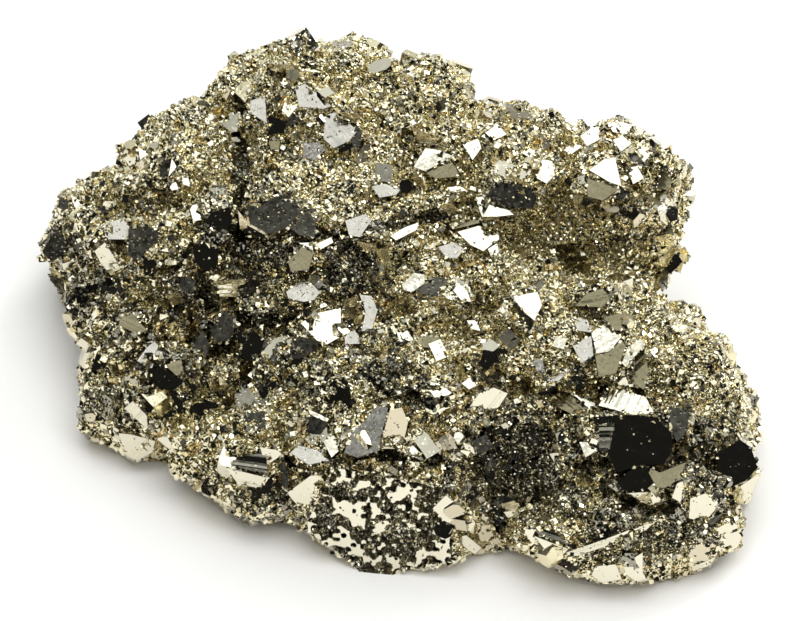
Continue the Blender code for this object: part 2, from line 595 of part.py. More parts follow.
def main():
    for thing in list(bpy.data.objects):
        bpy.data.objects.remove(thing)
    body = add_body()
    surface = surface_of(body)
    front = add_front_crystals(CRYSTALS, surface)
    back = add_back_crystals(BACK_CRYSTALS, surface)
    cluster = grow_together(body + front + back, "pyrite_cluster")
    break_off_underside(cluster)
    settle(cluster)
    cluster.data.materials.clear()
    cluster.data.materials.append(pyrite_material())


main()
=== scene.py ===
import math
from collections import namedtuple

import bmesh
import bpy
import numpy as np
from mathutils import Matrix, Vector
from mathutils.bvhtree import BVHTree


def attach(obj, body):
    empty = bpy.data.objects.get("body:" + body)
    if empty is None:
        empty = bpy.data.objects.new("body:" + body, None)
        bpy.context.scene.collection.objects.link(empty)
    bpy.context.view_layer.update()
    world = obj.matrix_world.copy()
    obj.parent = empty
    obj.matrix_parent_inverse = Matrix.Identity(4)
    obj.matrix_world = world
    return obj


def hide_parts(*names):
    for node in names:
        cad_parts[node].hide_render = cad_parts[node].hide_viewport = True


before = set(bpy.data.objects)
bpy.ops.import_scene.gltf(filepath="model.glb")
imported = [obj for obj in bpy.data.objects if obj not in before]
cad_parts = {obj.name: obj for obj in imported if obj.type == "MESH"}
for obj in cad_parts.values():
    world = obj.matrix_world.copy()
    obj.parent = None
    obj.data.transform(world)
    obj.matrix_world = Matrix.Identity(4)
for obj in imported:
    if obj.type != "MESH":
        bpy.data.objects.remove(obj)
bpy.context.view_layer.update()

MM = 0.001
FAR_AWAY = 99.0

# Vertices of the solid closer than one part in this many of a millimetre are one. Triangles
# whose normals have at least this cosine between them lie in one flat face.
WELD_GRID = 2000
FLAT_COSINE = 0.9998

# The display plane faces this elevation. Across runs to the right and up runs along
# the plane, in millimetres from its origin. Sight lines start this far in front of it.
VIEW_ELEVATION = 45.0
PLANE_ORIGIN = np.array([0.206, 19.316, -3.0])
TILT = math.radians(VIEW_ELEVATION)
UP = np.array([0.0, math.sin(TILT), math.cos(TILT)])
TOWARDS = np.array([0.0, -math.cos(TILT), math.sin(TILT)])
SIGHT_START = 300.0

# The picture's frame, in pixels, is centred on the plane's origin. A pixel covers this many
# millimetres of the plane.
PICTURE_WIDTH = 800
PICTURE_HEIGHT = 621
PIXEL = 0.1532

# Faces of the solid with a finish of their own: finish, across, up.
FACES = [
    ("grain", -2.0, 24.6),
    ("eaten", -3.5, -31.5), ("eaten", 15.8, -25.6), ("ridged", 44, -12.5), ("ridged", 47.6, -14.6),
    ("speckled", -19.3, 14), ("clean", 35, -20.6), ("clean", 49, -23), ("pitted", 48.6, -34.8),
    ("pitted", 33, -39.4), ("pitted", 45.6, -30), ("pitted", -21, -28), ("pitted", -39, -20.6),
    ("grain", 31.4, -5.6), ("grain", 29.4, 1.4), ("grain", 4.6, 24.4), ("grain", -14.6, 32),
    ("grain", -9.6, 27.8), ("grain", 12.2, 11.6), ("grain", -12.4, -2), ("grain", 31, 21),
    ("grain", -4.4, -17), ("grain", 6.6, 14.8), ("grain", 17, 17.6), ("grain", 0.4, 11.6),
    ("grain", -26.8, -3.4), ("grain", -27.4, 14), ("grain", -22.6, -23), ("grain", 12.8, -13.6),
]

# Faces of single crystals that stand out of the solid: tone, direction of their stripes in
# degrees across the display plane, number of specks, corners. The corners were read off
# in pixels across and down the picture's frame.
CRYSTAL_FACES = [
    ("pale", 70, 0, (120, 133), (131, 133), (137, 150), (133, 154), (118, 151)),
    ("dusk", None, 0, (112, 141), (121, 136), (118, 154), (109, 157)),
    ("white", None, 0, (140, 148), (150, 155), (142, 161)),
    ("dusk", None, 0, (164, 163), (173, 160), (170, 178), (162, 178)),
    ("white", None, 0, (174, 160), (179, 168), (171, 178)),
    ("white", None, 0, (182, 177), (190, 176), (192, 188), (186, 186)),
    ("black", None, 4, (208, 222), (213, 214), (231, 208), (235, 222), (228, 233), (210, 228)),
    ("black", None, 4, (195, 246), (221, 242), (220, 265), (207, 272), (197, 262)),
    ("tan", None, 0, (240, 212), (254, 228), (242, 230)),
    ("dusk", None, 6, (44, 252), (57, 230), (68, 240), (66, 255), (53, 262)),
    ("dusk", None, 4, (53, 264), (80, 270), (76, 290), (62, 292), (51, 280)),
    ("pale", None, 14, (106, 225), (125, 219), (134, 230), (128, 240), (108, 240)),
    ("dusk", None, 16, (131, 230), (150, 227), (165, 235), (140, 262), (131, 255)),
    ("cream", None, 5, (98, 252), (108, 243), (120, 262), (132, 284), (122, 286), (104, 264)),
    ("cream", None, 0, (64, 264), (78, 260), (82, 268), (66, 271)),
    ("cream", None, 0, (86, 270), (100, 275), (90, 277)),
    ("white", 60, 0, (72, 195), (80, 200), (84, 208), (77, 208)),
    ("dusk", None, 0, (61, 197), (70, 202), (68, 212), (59, 208)),
    ("dusk", None, 0, (96, 212), (106, 206), (112, 212), (100, 217)),
    ("white", None, 0, (170, 186), (178, 183), (181, 190), (174, 192)),
    ("cream", 2, 0, (220, 281), (245, 279), (246, 297), (222, 297)),
    ("dusk", None, 0, (184, 276), (198, 281), (192, 295), (182, 288)),
    ("tan", 28, 0, (168, 295), (180, 290), (188, 302), (174, 306)),
    ("olive", -25, 0, (123, 318), (135, 314), (150, 330), (140, 334), (122, 325)),
    ("cream", None, 0, (79, 343), (84, 338), (98, 348), (94, 354)),
    ("pale", 70, 0, (150, 347), (157, 341), (161, 345), (155, 368), (140, 360)),
    ("cream", None, 0, (137, 370), (150, 371), (142, 379)),
    ("black", None, 2, (155, 370), (165, 365), (185, 382), (175, 390), (158, 385)),
    ("olive", 65, 0, (168, 365), (184, 358), (186, 370), (180, 375)),
    ("cream", 42, 0, (128, 407), (136, 400), (150, 415), (150, 428)),
    ("cream", None, 6, (121, 432), (135, 433), (158, 440), (155, 450), (140, 459), (130, 455)),
    ("cream", None, 0, (160, 437), (170, 434), (178, 452)),
    ("dusk", None, 3, (195, 345), (205, 330), (212, 345), (208, 357), (196, 352)),
    ("dusk", None, 3, (212, 330), (228, 310), (238, 322), (232, 340), (218, 342)),
    ("cream", None, 2, (221, 375), (237, 388), (233, 397), (222, 385)),
    ("cream", -12, 3, (229, 465), (268, 475), (262, 484), (243, 485)),
    ("dusk", -8, 0, (234, 463), (240, 455), (268, 450), (270, 472)),
    ("black", None, 0, (94, 372), (100, 352), (106, 358), (104, 368)),
    ("cream", None, 0, (96, 376), (106, 369), (106, 376)),
    ("tan", None, 2, (88, 413), (100, 412), (98, 421), (90, 420)),
    ("tan", None, 0, (270, 66), (300, 68), (296, 78), (272, 72)),
    ("pale", None, 5, (296, 90), (306, 86), (332, 108), (325, 111), (300, 109)),
    ("white", 55, 0, (286, 104), (298, 109), (290, 119), (283, 113)),
    ("black", None, 0, (268, 136), (277, 120), (288, 124), (285, 134)),
    ("dusk", None, 0, (286, 126), (300, 110), (300, 122), (291, 129)),
    ("pale", 80, 8, (252, 103), (266, 98), (268, 125), (252, 115)),
    ("pale", -42, 10, (326, 118), (335, 114), (358, 132), (350, 143), (335, 150), (324, 140)),
    ("black", None, 0, (335, 150), (350, 144), (353, 148), (346, 153), (338, 154)),
    ("dusk", None, 0, (352, 142), (357, 126), (363, 135), (360, 148), (354, 150)),
    ("tan", -42, 0, (338, 114), (362, 116), (355, 126)),
    ("olive", None, 0, (270, 143), (282, 143), (280, 151), (272, 151)),
    ("steel", None, 4, (305, 145), (320, 144), (326, 152), (315, 162), (304, 160)),
    ("dusk", None, 22, (248, 207), (262, 208), (275, 198), (292, 196), (303, 212), (288, 230),
        (270, 235), (252, 225)),
    ("dusk", None, 8, (305, 205), (318, 212), (316, 238), (300, 236), (291, 228)),
    ("pale", None, 4, (372, 188), (385, 185), (400, 192), (396, 196), (380, 199)),
    ("pale", None, 8, (346, 222), (366, 215), (372, 222), (360, 238), (350, 236)),
    ("tan", None, 0, (412, 170), (420, 180), (428, 188), (416, 189)),
    ("white", 28, 0, (414, 168), (425, 150), (440, 152), (452, 158), (425, 173)),
    ("olive", 28, 0, (425, 174), (452, 160), (458, 178), (435, 180)),
    ("tan", None, 2, (410, 128), (425, 134), (440, 140), (436, 147), (418, 144)),
    ("tan", None, 2, (357, 242), (368, 244), (396, 246), (386, 254), (368, 255)),
    ("white", None, 0, (316, 246), (332, 238), (334, 243), (322, 250)),
    ("white", None, 0, (300, 244), (313, 243), (314, 251)),
    ("olive", None, 3, (290, 262), (302, 247), (315, 252), (310, 270), (292, 272)),
    ("pale", None, 12, (288, 292), (305, 279), (322, 291), (315, 300), (305, 302), (290, 298)),
    ("steel", None, 3, (307, 278), (318, 272), (324, 285), (320, 289)),
    ("white", None, 2, (302, 323), (316, 314), (341, 308), (342, 336), (328, 344), (318, 340)),
    ("white", None, 0, (310, 308), (326, 302), (328, 306), (312, 312)),
    ("tan", None, 3, (345, 300), (358, 296), (364, 312), (360, 328), (346, 325)),
    ("pale", None, 5, (360, 295), (372, 296), (378, 310), (372, 330), (362, 331), (366, 312)),
    ("pale", None, 3, (345, 333), (356, 330), (362, 343), (346, 344)),
    ("dusk", None, 3, (287, 357), (300, 335), (320, 342), (318, 350), (300, 358)),
    ("black", None, 1, (242, 350), (255, 330), (266, 340), (262, 352), (248, 354)),
    ("white", None, 2, (402, 285), (414, 273), (424, 275), (424, 284), (412, 292), (404, 290)),
    ("white", None, 2, (397, 332), (407, 331), (414, 340), (400, 341)),
    ("olive", None, 2, (413, 335), (440, 337), (438, 348), (412, 346)),
    ("white", None, 0, (390, 237), (405, 228), (418, 224), (416, 231), (396, 241)),
    ("pale", None, 4, (438, 248), (452, 243), (464, 250), (456, 259), (446, 258)),
    ("white", None, 1, (430, 390), (445, 387), (452, 393), (434, 396)),
    ("white", None, 6, (462, 146), (478, 140), (480, 150), (472, 162)),
    ("white", None, 3, (480, 138), (496, 126), (502, 130), (486, 141)),
    ("glow", None, 0, (532, 166), (540, 161), (550, 163), (553, 177), (545, 185), (535, 180)),
    ("glow", None, 0, (587, 172), (602, 161), (612, 160), (618, 188), (606, 184)),
    ("olive", None, 0, (584, 180), (605, 187), (615, 191), (600, 202), (585, 198)),
    ("dusk", None, 10, (484, 196), (500, 183), (530, 190), (535, 200), (530, 210), (510, 208), (490, 200)),
    ("white", None, 1, (482, 218), (488, 206), (498, 203), (512, 216), (495, 218)),
    ("tan", None, 0, (503, 104), (512, 100), (522, 99), (530, 104), (514, 107)),
    ("tan", None, 0, (505, 175), (520, 181), (536, 190), (520, 186)),
    ("white", None, 0, (640, 140), (655, 138), (665, 149), (655, 153), (645, 147)),
    ("dusk", None, 0, (656, 155), (666, 151), (669, 156)),
    ("olive", None, 0, (653, 190), (661, 169), (668, 183), (665, 192)),
    ("olive", None, 0, (660, 236), (667, 222), (671, 236)),
    ("cream", None, 3, (652, 265), (668, 242), (674, 250), (664, 268)),
    ("cream", None, 0, (670, 262), (682, 261), (678, 273), (670, 271)),
    ("cream", 70, 0, (662, 288), (670, 270), (675, 284), (668, 293)),
    ("tan", None, 2, (438, 208), (450, 204), (462, 214), (448, 215)),
    ("white", None, 0, (442, 184), (455, 185), (466, 192), (452, 194)),
    ("white", None, 3, (457, 233), (496, 222), (498, 240), (482, 252), (470, 246)),
    ("white", None, 4, (487, 250), (496, 244), (498, 256), (492, 262)),
    ("olive", 20, 0, (452, 230), (470, 222), (495, 219), (480, 224)),
    ("white", None, 1, (510, 297), (535, 292), (540, 305), (532, 320), (522, 312)),
    ("dusk", None, 1, (510, 301), (522, 314), (531, 322), (527, 336)),
    ("olive", 10, 0, (573, 306), (582, 295), (600, 288), (606, 298), (600, 307)),
    ("white", 30, 0, (588, 332), (600, 325), (618, 336), (606, 350), (593, 353)),
    ("olive", None, 4, (592, 355), (606, 351), (618, 339), (622, 346), (612, 372), (595, 376)),
    ("white", None, 0, (618, 362), (624, 347), (636, 338), (641, 344), (622, 366)),
    ("olive", 42, 3, (622, 368), (640, 348), (644, 370), (640, 388), (628, 382)),
    ("white", 62, 0, (595, 404), (612, 378), (622, 376), (643, 398), (650, 412), (630, 413)),
    ("olive", -38, 0, (542, 400), (558, 390), (572, 395), (590, 412), (580, 418), (560, 408)),
    ("white", -38, 0, (565, 390), (592, 402), (590, 411), (574, 396)),
    ("cream", 52, 0, (466, 408), (478, 392), (492, 386), (506, 392), (498, 404), (484, 420), (470, 418)),
    ("glow", None, 0, (452, 290), (458, 284), (466, 290), (470, 302), (460, 300)),
    ("glow", None, 0, (461, 382), (469, 376), (475, 384), (468, 388)),
    ("white", None, 1, (466, 320), (476, 320), (479, 331), (470, 328)),
    ("pale", None, 5, (568, 315), (585, 320), (588, 332), (575, 330)),
    ("pale", None, 5, (570, 345), (588, 335), (590, 355), (578, 362)),
    ("olive", None, 2, (600, 318), (615, 313), (630, 316), (626, 330), (612, 330)),
    ("steel", None, 2, (530, 360), (540, 356), (542, 370), (534, 370)),
    ("pale", None, 3, (540, 374), (552, 378), (570, 366), (556, 380), (545, 380)),
    ("pale", None, 6, (292, 450), (300, 443), (320, 448), (330, 458), (310, 462)),
    ("glow", None, 0, (325, 440), (335, 432), (340, 448), (333, 455)),
    ("glow", None, 0, (357, 424), (365, 418), (368, 426), (358, 430)),
    ("steel", None, 10, (345, 450), (352, 432), (366, 418), (378, 404), (388, 406), (378, 448), (358, 455)),
    ("tan", None, 8, (380, 446), (390, 408), (402, 406), (408, 420), (402, 446)),
    ("white", None, 0, (408, 430), (415, 434), (424, 440), (424, 450), (412, 452), (407, 445)),
    ("tan", None, 1, (294, 415), (308, 417), (308, 430), (300, 432)),
    ("dusk", None, 0, (310, 415), (330, 420), (322, 432), (310, 432)),
    ("glow", None, 0, (310, 408), (330, 417), (328, 420), (312, 413)),
    ("cream", None, 2, (262, 445), (280, 448), (284, 452), (268, 464)),
    ("cream", None, 6, (432, 505), (445, 492), (455, 500), (460, 512), (474, 520), (470, 528), (445, 518)),
    ("cream", None, 2, (452, 535), (465, 532), (480, 544), (474, 551)),
    ("cream", None, 3, (289, 490), (312, 473), (330, 472), (322, 485), (310, 502), (297, 500)),
    ("dusk", 88, 0, (281, 460), (290, 458), (290, 488), (283, 482)),
    ("black", None, 9, (612, 420), (630, 413), (650, 415), (666, 430), (668, 445), (660, 462),
        (640, 462), (612, 470), (605, 450)),
    ("dusk", 2, 0, (595, 410), (610, 412), (610, 448), (596, 448)),
    ("black", None, 0, (613, 480), (625, 468), (640, 464), (650, 475), (652, 488), (622, 488)),
    ("olive", None, 0, (641, 463), (655, 470), (680, 460), (676, 475), (660, 485), (652, 484)),
    ("cream", None, 3, (622, 490), (648, 489), (656, 495), (655, 505), (640, 500)),
    ("cream", None, 3, (664, 505), (672, 480), (678, 478), (676, 500)),
    ("cream", None, 3, (672, 452), (676, 440), (684, 436), (683, 458), (676, 462)),
    ("black", None, 6, (712, 450), (735, 438), (745, 445), (752, 465), (740, 478), (722, 486), (712, 470)),
    ("cream", None, 2, (714, 500), (730, 487), (755, 470), (745, 494), (728, 506)),
    ("cream", None, 5, (685, 495), (700, 490), (712, 503), (700, 518), (684, 515)),
    ("dusk", 45, 0, (702, 518), (712, 508), (718, 512), (706, 522)),
    ("cream", -22, 0, (532, 532), (540, 535), (565, 545), (560, 551), (545, 549)),
    ("dusk", -18, 0, (532, 522), (555, 530), (565, 540), (535, 530)),
    ("cream", 25, 2, (502, 509), (520, 506), (535, 500), (525, 512), (508, 515)),
    ("cream", 18, 8, (564, 548), (600, 536), (625, 526), (622, 532), (600, 543), (566, 554)),
    ("cream", 20, 6, (626, 526), (650, 518), (642, 526), (624, 533)),
    ("cream", None, 4, (592, 562), (612, 560), (618, 575), (597, 578), (588, 571)),
    ("cream", None, 5, (620, 560), (638, 548), (638, 568), (642, 575), (632, 577), (621, 569)),
    ("cream", None, 3, (683, 565), (710, 553), (706, 561), (690, 567)),
    ("cream", None, 1, (728, 554), (740, 538), (739, 550), (734, 554)),
    ("glow", None, 0, (576, 440), (584, 440), (590, 450), (582, 455)),
    ("dusk", None, 0, (665, 405), (685, 410), (682, 430), (672, 440), (665, 425)),
    ("dusk", None, 4, (470, 440), (485, 432), (492, 444), (480, 452)),
    ("cream", None, 2, (462, 440), (472, 445), (474, 452), (464, 446)),
    ("white", None, 2, (578, 138), (590, 130), (604, 128), (600, 140), (585, 148)),
    ("white", None, 1, (606, 128), (618, 124), (630, 128), (624, 136), (610, 134)),
    ("white", None, 0, (562, 152), (572, 144), (580, 148), (570, 156)),
    ("white", None, 1, (610, 142), (620, 138), (628, 146), (618, 154)),
    ("white", None, 1, (630, 152), (640, 148), (648, 156), (640, 164), (632, 160)),
    ("white", None, 0, (624, 170), (634, 168), (640, 180), (630, 186)),
    ("white", None, 1, (648, 196), (658, 198), (664, 210), (656, 216)),
    ("white", None, 0, (522, 156), (528, 150), (534, 154), (528, 160)),
    ("white", None, 0, (484, 134), (500, 130), (506, 136), (492, 142)),
    ("cream", None, 3, (652, 238), (668, 234), (672, 246), (656, 256)),
    ("black", None, 2, (658, 264), (672, 250), (680, 262), (668, 274)),
    ("cream", None, 2, (668, 252), (684, 250), (686, 262), (676, 262)),
    ("pale", None, 1, (656, 284), (664, 258), (668, 262), (662, 290)),
]

# Longest mesh edges, in millimetres: on smooth faces, on their worn patches, round their
# pits and on the far side of the solid. Away from pits and wear the length allowed grows
# with the distance. Edges are halved at most this many times.
SMOOTH_EDGE = 1.60
WORN_EDGE = 0.48
FINE_EDGE = 0.29
FAR_EDGE = 0.95
EDGE_GROWTH = 0.75
WORN_REACH = 2.0
MOST_SPLITS = 12

# Finishes: longest mesh edge in millimetres, share of its pits that are open, level of
# wear at which the surface is eaten away (2 is never), how deep that goes and how much
# more worn the rim is.
FINISHES = {
    "druse": (0.50, 1.0, -2.0, 0.0, 0.0),
    "grain": (0.46, 1.0, -2.0, 0.0, 0.0),
    "ridged": (0.36, 1.0, -2.0, 0.0, 0.0),
    "clean": (SMOOTH_EDGE, 0.10, 2.0, 0.10, 0.0),
    "speckled": (SMOOTH_EDGE, 0.40, 0.60, 0.12, 0.10),
    "chipped": (SMOOTH_EDGE, 0.25, 0.12, 0.25, 0.35),
    "pitted": (SMOOTH_EDGE, 0.50, 0.16, 0.25, 0.15),
    "eaten": (SMOOTH_EDGE, 0.65, -0.15, 0.85, 0.0),
    "striated": (0.28, 0.05, 0.50, 0.10, 0.15),
    "base": (2.50, 0.0, 2.0, 0.0, 0.0),
}

# A finish with a lower level than this is crust all over. One that goes deeper than this is
# rough where it is eaten, and painted dark there as shade in its pits. A place counts as clean
# where it is more polished than this.
CRUST_LEVEL = -1.0
DEEP_FINISH = 0.5
POLISHED = 0.5

# Faces under this area, in square millimetres, take a finish by chance: pitted or
# striated when the roll from 0 to 1 is over these, chipped when it is under the region's
# share of clean faces.
FACET_AREA = 30.0
PITTED_ROLL = 0.90
STRIATED_ROLL = 0.97

# The underside is where the solid looks down this steeply and lies this low.
BASE_FACING = -0.95
BASE_TOP = 0.5

# Seeds of the random numbers.
FINISH_SEED = 5
PIT_SEED = 31
STRIATION_SEED = 52
COVER_SEEDS = (81, 82)
BRIGHT_SEED = 73
CRUST_SEED = 2097
FACES_SEED = 314

# Layers of noise, each with a size in millimetres, a height and a seed.
SWELL_LAYERS = ((3.6, 0.55, 11), (1.8, 0.28, 12))
WEAR_LAYERS = ((2.2, 0.50, 41), (0.75, 0.62, 42))
SEAM_WANDER = ((2.4, 0.90, 61),)
COVER_WANDER = ((1.2, 0.12, 83),)

# Chips of the crust: size in millimetres, slope and seed.
FINE_CHIPS = (0.55, 0.62, 14)
COARSE_CHIPS = (1.0, 0.40, 13)
GRAIN_CHIPS = (0.95, 0.5, 15)

# Grain mixes its own chips and the fine ones in these shares. Druse lies this much lower,
# in millimetres, and eaten places are this much rougher.
GRAIN_MIX = (0.45, 0.75)
DRUSE_SINK = 0.15
EATEN_ROUGHNESS = 1.7

# Pits: spacing, radius of the smallest and what the largest adds, width of the soft edge.
PIT_SPACING = 0.95
PIT_RADIUS = (0.10, 0.22)
PIT_EDGE = 0.10

# Ridges wander over a face. Striations are fine steps of uneven width. In millimetres.
RIDGE_WIDTH = 1.7
RIDGE_HEIGHT = 0.5
RIDGE_WANDER = ((4.0, 0.7, 51),)
STRIATION_WIDTH = 0.42
STRIATION_SLOPE = 0.09
STRIATION_STEP = 0.015

# Crust creeps in from the rim of a face over this width.
RIM_WIDTH = 0.8

# Crust also covers a face beyond two straight lines. Each lies this far from the middle,
# as a share of the face's radius. Clean and eaten faces have none.
COVER_NEAR = 0.45
COVER_FAR = 1.25
WHOLE_FINISHES = ("clean", "eaten", "base", "ridged")

# How the crystals lie round a point of the display plane: across, up, radius, half size
# of the small crystals, share of clean faces. The last row is for everywhere else.
REGIONS = [
    (-24, 28, 16, 0.26, 0.06), (-38, 4, 14, 0.46, 0.20), (-36, -14, 12, 0.42, 0.20),
    (20, 5, 12, 0.28, 0.06), (31, 17, 9, 0.28, 0.10), (-6, 20, 12, 0.28, 0.06),
    (-20, -8, 12, 0.38, 0.15), (0, 0, 200, 0.34, 0.14),
]
CRYSTAL_SIZE, CLEAN_SHARE = 3, 4

# Places of painted shade, where the crust is darkened for the shade that falls there: across, up, radius,
# share of dark crust at the middle.
PAINTED_SHADE_ZONES = [
    (-25.3, 9.3, 8, 0.45), (-27.6, 0.1, 9, 0.6), (-16.9, 11.6, 6, 0.55), (-33, -6, 9, 0.35),
    (-3, -7.6, 6, 0.5), (-15.3, -10.6, 8, 0.35), (-21.4, -6, 8, 0.4), (-7.7, 6.2, 6, 0.6),
    (3, -13.7, 5, 0.4), (-41.4, -14, 6, 0.45), (-49, 4, 6, 0.5), (16.9, -22.9, 9, 0.6),
    (24.5, -26, 7, 0.5), (35.2, -19.8, 6.5, 0.6),
    (46, -22, 7, 0.7), (33.7, -32, 8, 0.5), (43, -31, 8, 0.5), (-20, -32, 7, 0.4), (-46, -12, 5, 0.4),
    (-52, 10.8, 4, 0.6), (-41.4, -1.5, 8, 0.3), (-45, 4.7, 7, 0.3), (33.7, 13, 5, 0.3),
]

# Seams between crystal masses: across and up of both ends, half width, depth.
SEAMS = [
    (-24.5, 32.2, -24, 11.6, 0.9, 1.3), (-23.7, 14.6, -10, 10.8, 0.9, 1.3),
    (-10, 11.1, 12.3, 16.5, 0.7, 1.1),
    (-17.2, -22.6, -7.7, -21.7, 0.8, 1.2), (-7.7, -21.7, 6.1, -22.1, 0.8, 1.2),
    (25.3, -13.7, 28.3, -26, 0.8, 1.2),
    (-30, 6, -28, -6, 0.9, 1.2), (-28, -1, -15, -2, 0.8, 1.0), (7.7, -22.5, 6.6, -36, 0.5, 0.7),
]

# Share of dark crust in a seam, where it is painted shade, and away from every place of painted shade.
# Seams fade out between these shares of their half width, and the sooner the less they face the viewer. The
# painted shade fades out between these shares of its radius.
SEAM_SHADE = 0.9
LEAST_DARK_CRUST = 0.03
SEAM_EDGE = (0.4, 1.6)
SEAM_FRONT = 3.0
SHADE_EDGE = (0.5, 1.3)

# Patches of the skin: size in millimetres and seed, and the level over which they show.
# Painted shade gathers in hollows between these depths, and this share of the clean faces is
# bright.
SHADE_PATCH = (0.8, 71)
AMBER_PATCH = (1.6, 72)
AMBER_LEVEL = 0.55
GLINT_PATCH = (0.4, 74)
GLINT_LEVEL = 0.14
HOLLOW_DEPTH = (0.10, 0.55)
HOLLOW_SHADE = 0.45
BRIGHT_SHARE = 0.68

# Small crystals: number of them, range of their size as a share of the region's, and how
# far out their middles lie as a share of their half size. Blocks have half sizes of their
# own, in millimetres: the smallest, what the largest adds, and how rare large ones are.
DRUSE_COUNT = 22000
DRUSE_SIZE = (0.5, 1.3)
DRUSE_SINK_RANGE = (-0.45, 0.2)
BLOCKS_COUNT = 600
BLOCK_HALF = (0.6, 1.1)
BLOCK_RARITY = 2.2
BLOCK_SINK_RANGE = (-0.9, -0.35)

# Small crystals grow only where they are higher over the floor than this many half sizes.
CLEAR_OF_FLOOR = 2.0

# Small crystals lean off the surface by about this much, in radians, and some lie anyhow.
# Each of their sides is longer or shorter by a share in this range.
LEAN = 0.36
LOOSE_LEAN = 3.0
LOOSE_SHARE = 0.22
STRETCH = (0.75, 1.25)

# Materials of every piece, in the order of their slots.
FACE, CRUST, BRONZE, DARK, AMBER, BRASS, PAINTED_GREY, PAINTED_OLIVE = range(8)
DRUSE_SLOTS = {CRUST: 0.72, FACE: 0.14, BRONZE: 0.10, AMBER: 0.04}
BLOCK_SLOTS = {FACE: 0.40, BRONZE: 0.25, BRASS: 0.35}

# Metals of the slots: name, colour, least and greatest roughness, size of the grains in
# millimetres, how far they tip, height of the soft waves in millimetres.
METALS = [
    ("pyrite_face", (0.79, 0.745, 0.59), (0.05, 0.15), 0.5, 0.04, 0.07),
    ("pyrite_crust", (0.88, 0.815, 0.585), (0.05, 0.16), 0.45, 0.22, 0.04),
    ("pyrite_bronze", (0.66, 0.59, 0.43), (0.08, 0.20), 0.5, 0.05, 0.04),
    # The dark metal is painted shade where it stands for darker places, seams, hollows, eaten pits and
    # undersides.
    ("pyrite_dark", (0.34, 0.32, 0.25), (0.05, 0.16), 0.32, 0.50, 0.04),
    ("pyrite_amber", (0.80, 0.66, 0.36), (0.12, 0.28), 0.45, 0.25, 0.04),
    ("pyrite_brass", (0.86, 0.78, 0.53), (0.12, 0.26), 0.5, 0.06, 0.04),
    # The painted grey and painted olive metals are painted reflections: they make faces that look the same
    # way as white ones grey or olive.
    ("pyrite_painted_grey", (0.50, 0.475, 0.415), (0.12, 0.34), 0.35, 0.13, 0.16),
    ("pyrite_painted_olive", (0.22, 0.195, 0.12), (0.12, 0.30), 0.4, 0.10, 0.14),
]

# Texture that the metals share: scale per metre and detail of the noise, scale of the
# specks per metre and their height in millimetres.
PATCH_NOISE = (700.0, 3.0)
PATCH_RANGE = (0.35, 0.70)
WAVE_NOISE = (230.0, 1.0)
SPECK_SCALE = 1100.0
SPECK_RANGE = (0.05, 0.24)
SPECK_HEIGHT = 0.02

# Tone of a crystal face: slot, azimuth and elevation that it looks to. Pale and olive faces look the same
# way as white ones, and tan ones nearly as cream ones; their darker metals are painted reflection and
# shade.
TONES = {
    "white": (FACE, 0, 72.5), "glow": (FACE, 4, 72.5), "pale": (PAINTED_GREY, 0, 72.5),
    "steel": (PAINTED_GREY, -45, 62), "olive": (PAINTED_OLIVE, 0, 72.5), "tan": (BRONZE, 0, 8),
    "cream": (FACE, 0, 6), "dusk": (FACE, 0, 52), "black": (FACE, 0, 44),
}

# How far a face may turn from its tone's direction, in degrees of azimuth and elevation.
TURN_JITTER = 2.0
TILT_JITTER = 0.8

# A crystal face just clears the solid under it by the lift, but its middle is no further
# out than the reach. Its sides flare and go down by the root from the solid under its
# middle, and by the least from its own lowest corner. Nothing comes closer to the floor
# than the clearance. All but the flare in millimetres.
FACE_LIFT = 0.12
FACE_REACH = 1.9
FACE_FLARE = 1.14
FACE_ROOT = 1.6
FACE_LEAST = 0.4
FACE_CLEARANCE = 0.02

# Specks on a face are grains of this slot, dark where no slot is named. Half sizes, how far
# the middle lies out as a share of the half size, and how far they spread towards two
# corners of the face.
SPECKS = {"dusk": BRONZE, "black": BRONZE, "steel": CRUST, "pale": CRUST}
SPECK_HALF = (0.05, 0.20)
SPECK_SINK = -0.55
SPECK_SPREAD = (0.75, 0.20)

# Grains along the rim of a face: half sizes, spacing, share of the edges that they cover,
# spacing on the others, how far out and down they sit, how far they stray, how far their
# middles lie out as a share of the half size, and their slots.
RIM_GRAIN = (0.08, 0.22)
RIM_STEP = 0.38
RIM_SHARE = 0.35
BARE_STEP = 4.0 * RIM_STEP
RIM_OUT = 0.14
RIM_DOWN = 0.12
RIM_SPREAD = 0.09
RIM_SINK = (-0.7, 0.1)
RIM_SLOTS = (CRUST, CRUST, BRONZE, DARK)

# Stripes of a striped face: narrowest and widest, and how far each leans.
STRIPES = (0.12, 0.55)
STRIPE_LEAN = 0.16

# A face of the solid is on its far side where it looks away by more than this. Below the
# base height the solid stays as it is. No piece has more triangles than this.
HIDDEN_FACING = -0.15
BASE_HEIGHT = 0.05
MOST_TRIANGLES = 190000

# The camera, in metres and millimetres of film.
CAMERA_DISTANCE = 3.0
CLIP_END = 20.0
SENSOR_WIDTH = 36.0

# Lights, in metres: name, place, size, radiance. The floor light has no highlights on metal.
# The strips hang side by side overhead and point straight down.
FLOOR_LIGHT = ("floor light", (0.0, -0.18, 0.42), (0.45, 0.45), 2.6)
SIDE_LIGHTS = [
    ("back right", (0.8, 0.9, 0.9), (0.60, 0.50), 7.0),
    ("front right", (1.0, -0.9, 1.15), (0.28, 0.28), 7.0),
]
STRIP_COUNT = 4
STRIP_START = -0.02
STRIP_SPACING = 0.25
STRIP_HEIGHT = 1.1
STRIP_SIZE = (1.2, 0.17)
STRIP_RADIANCE = 1.0
STRIP_COLOUR = (0.97, 1.0, 1.02)

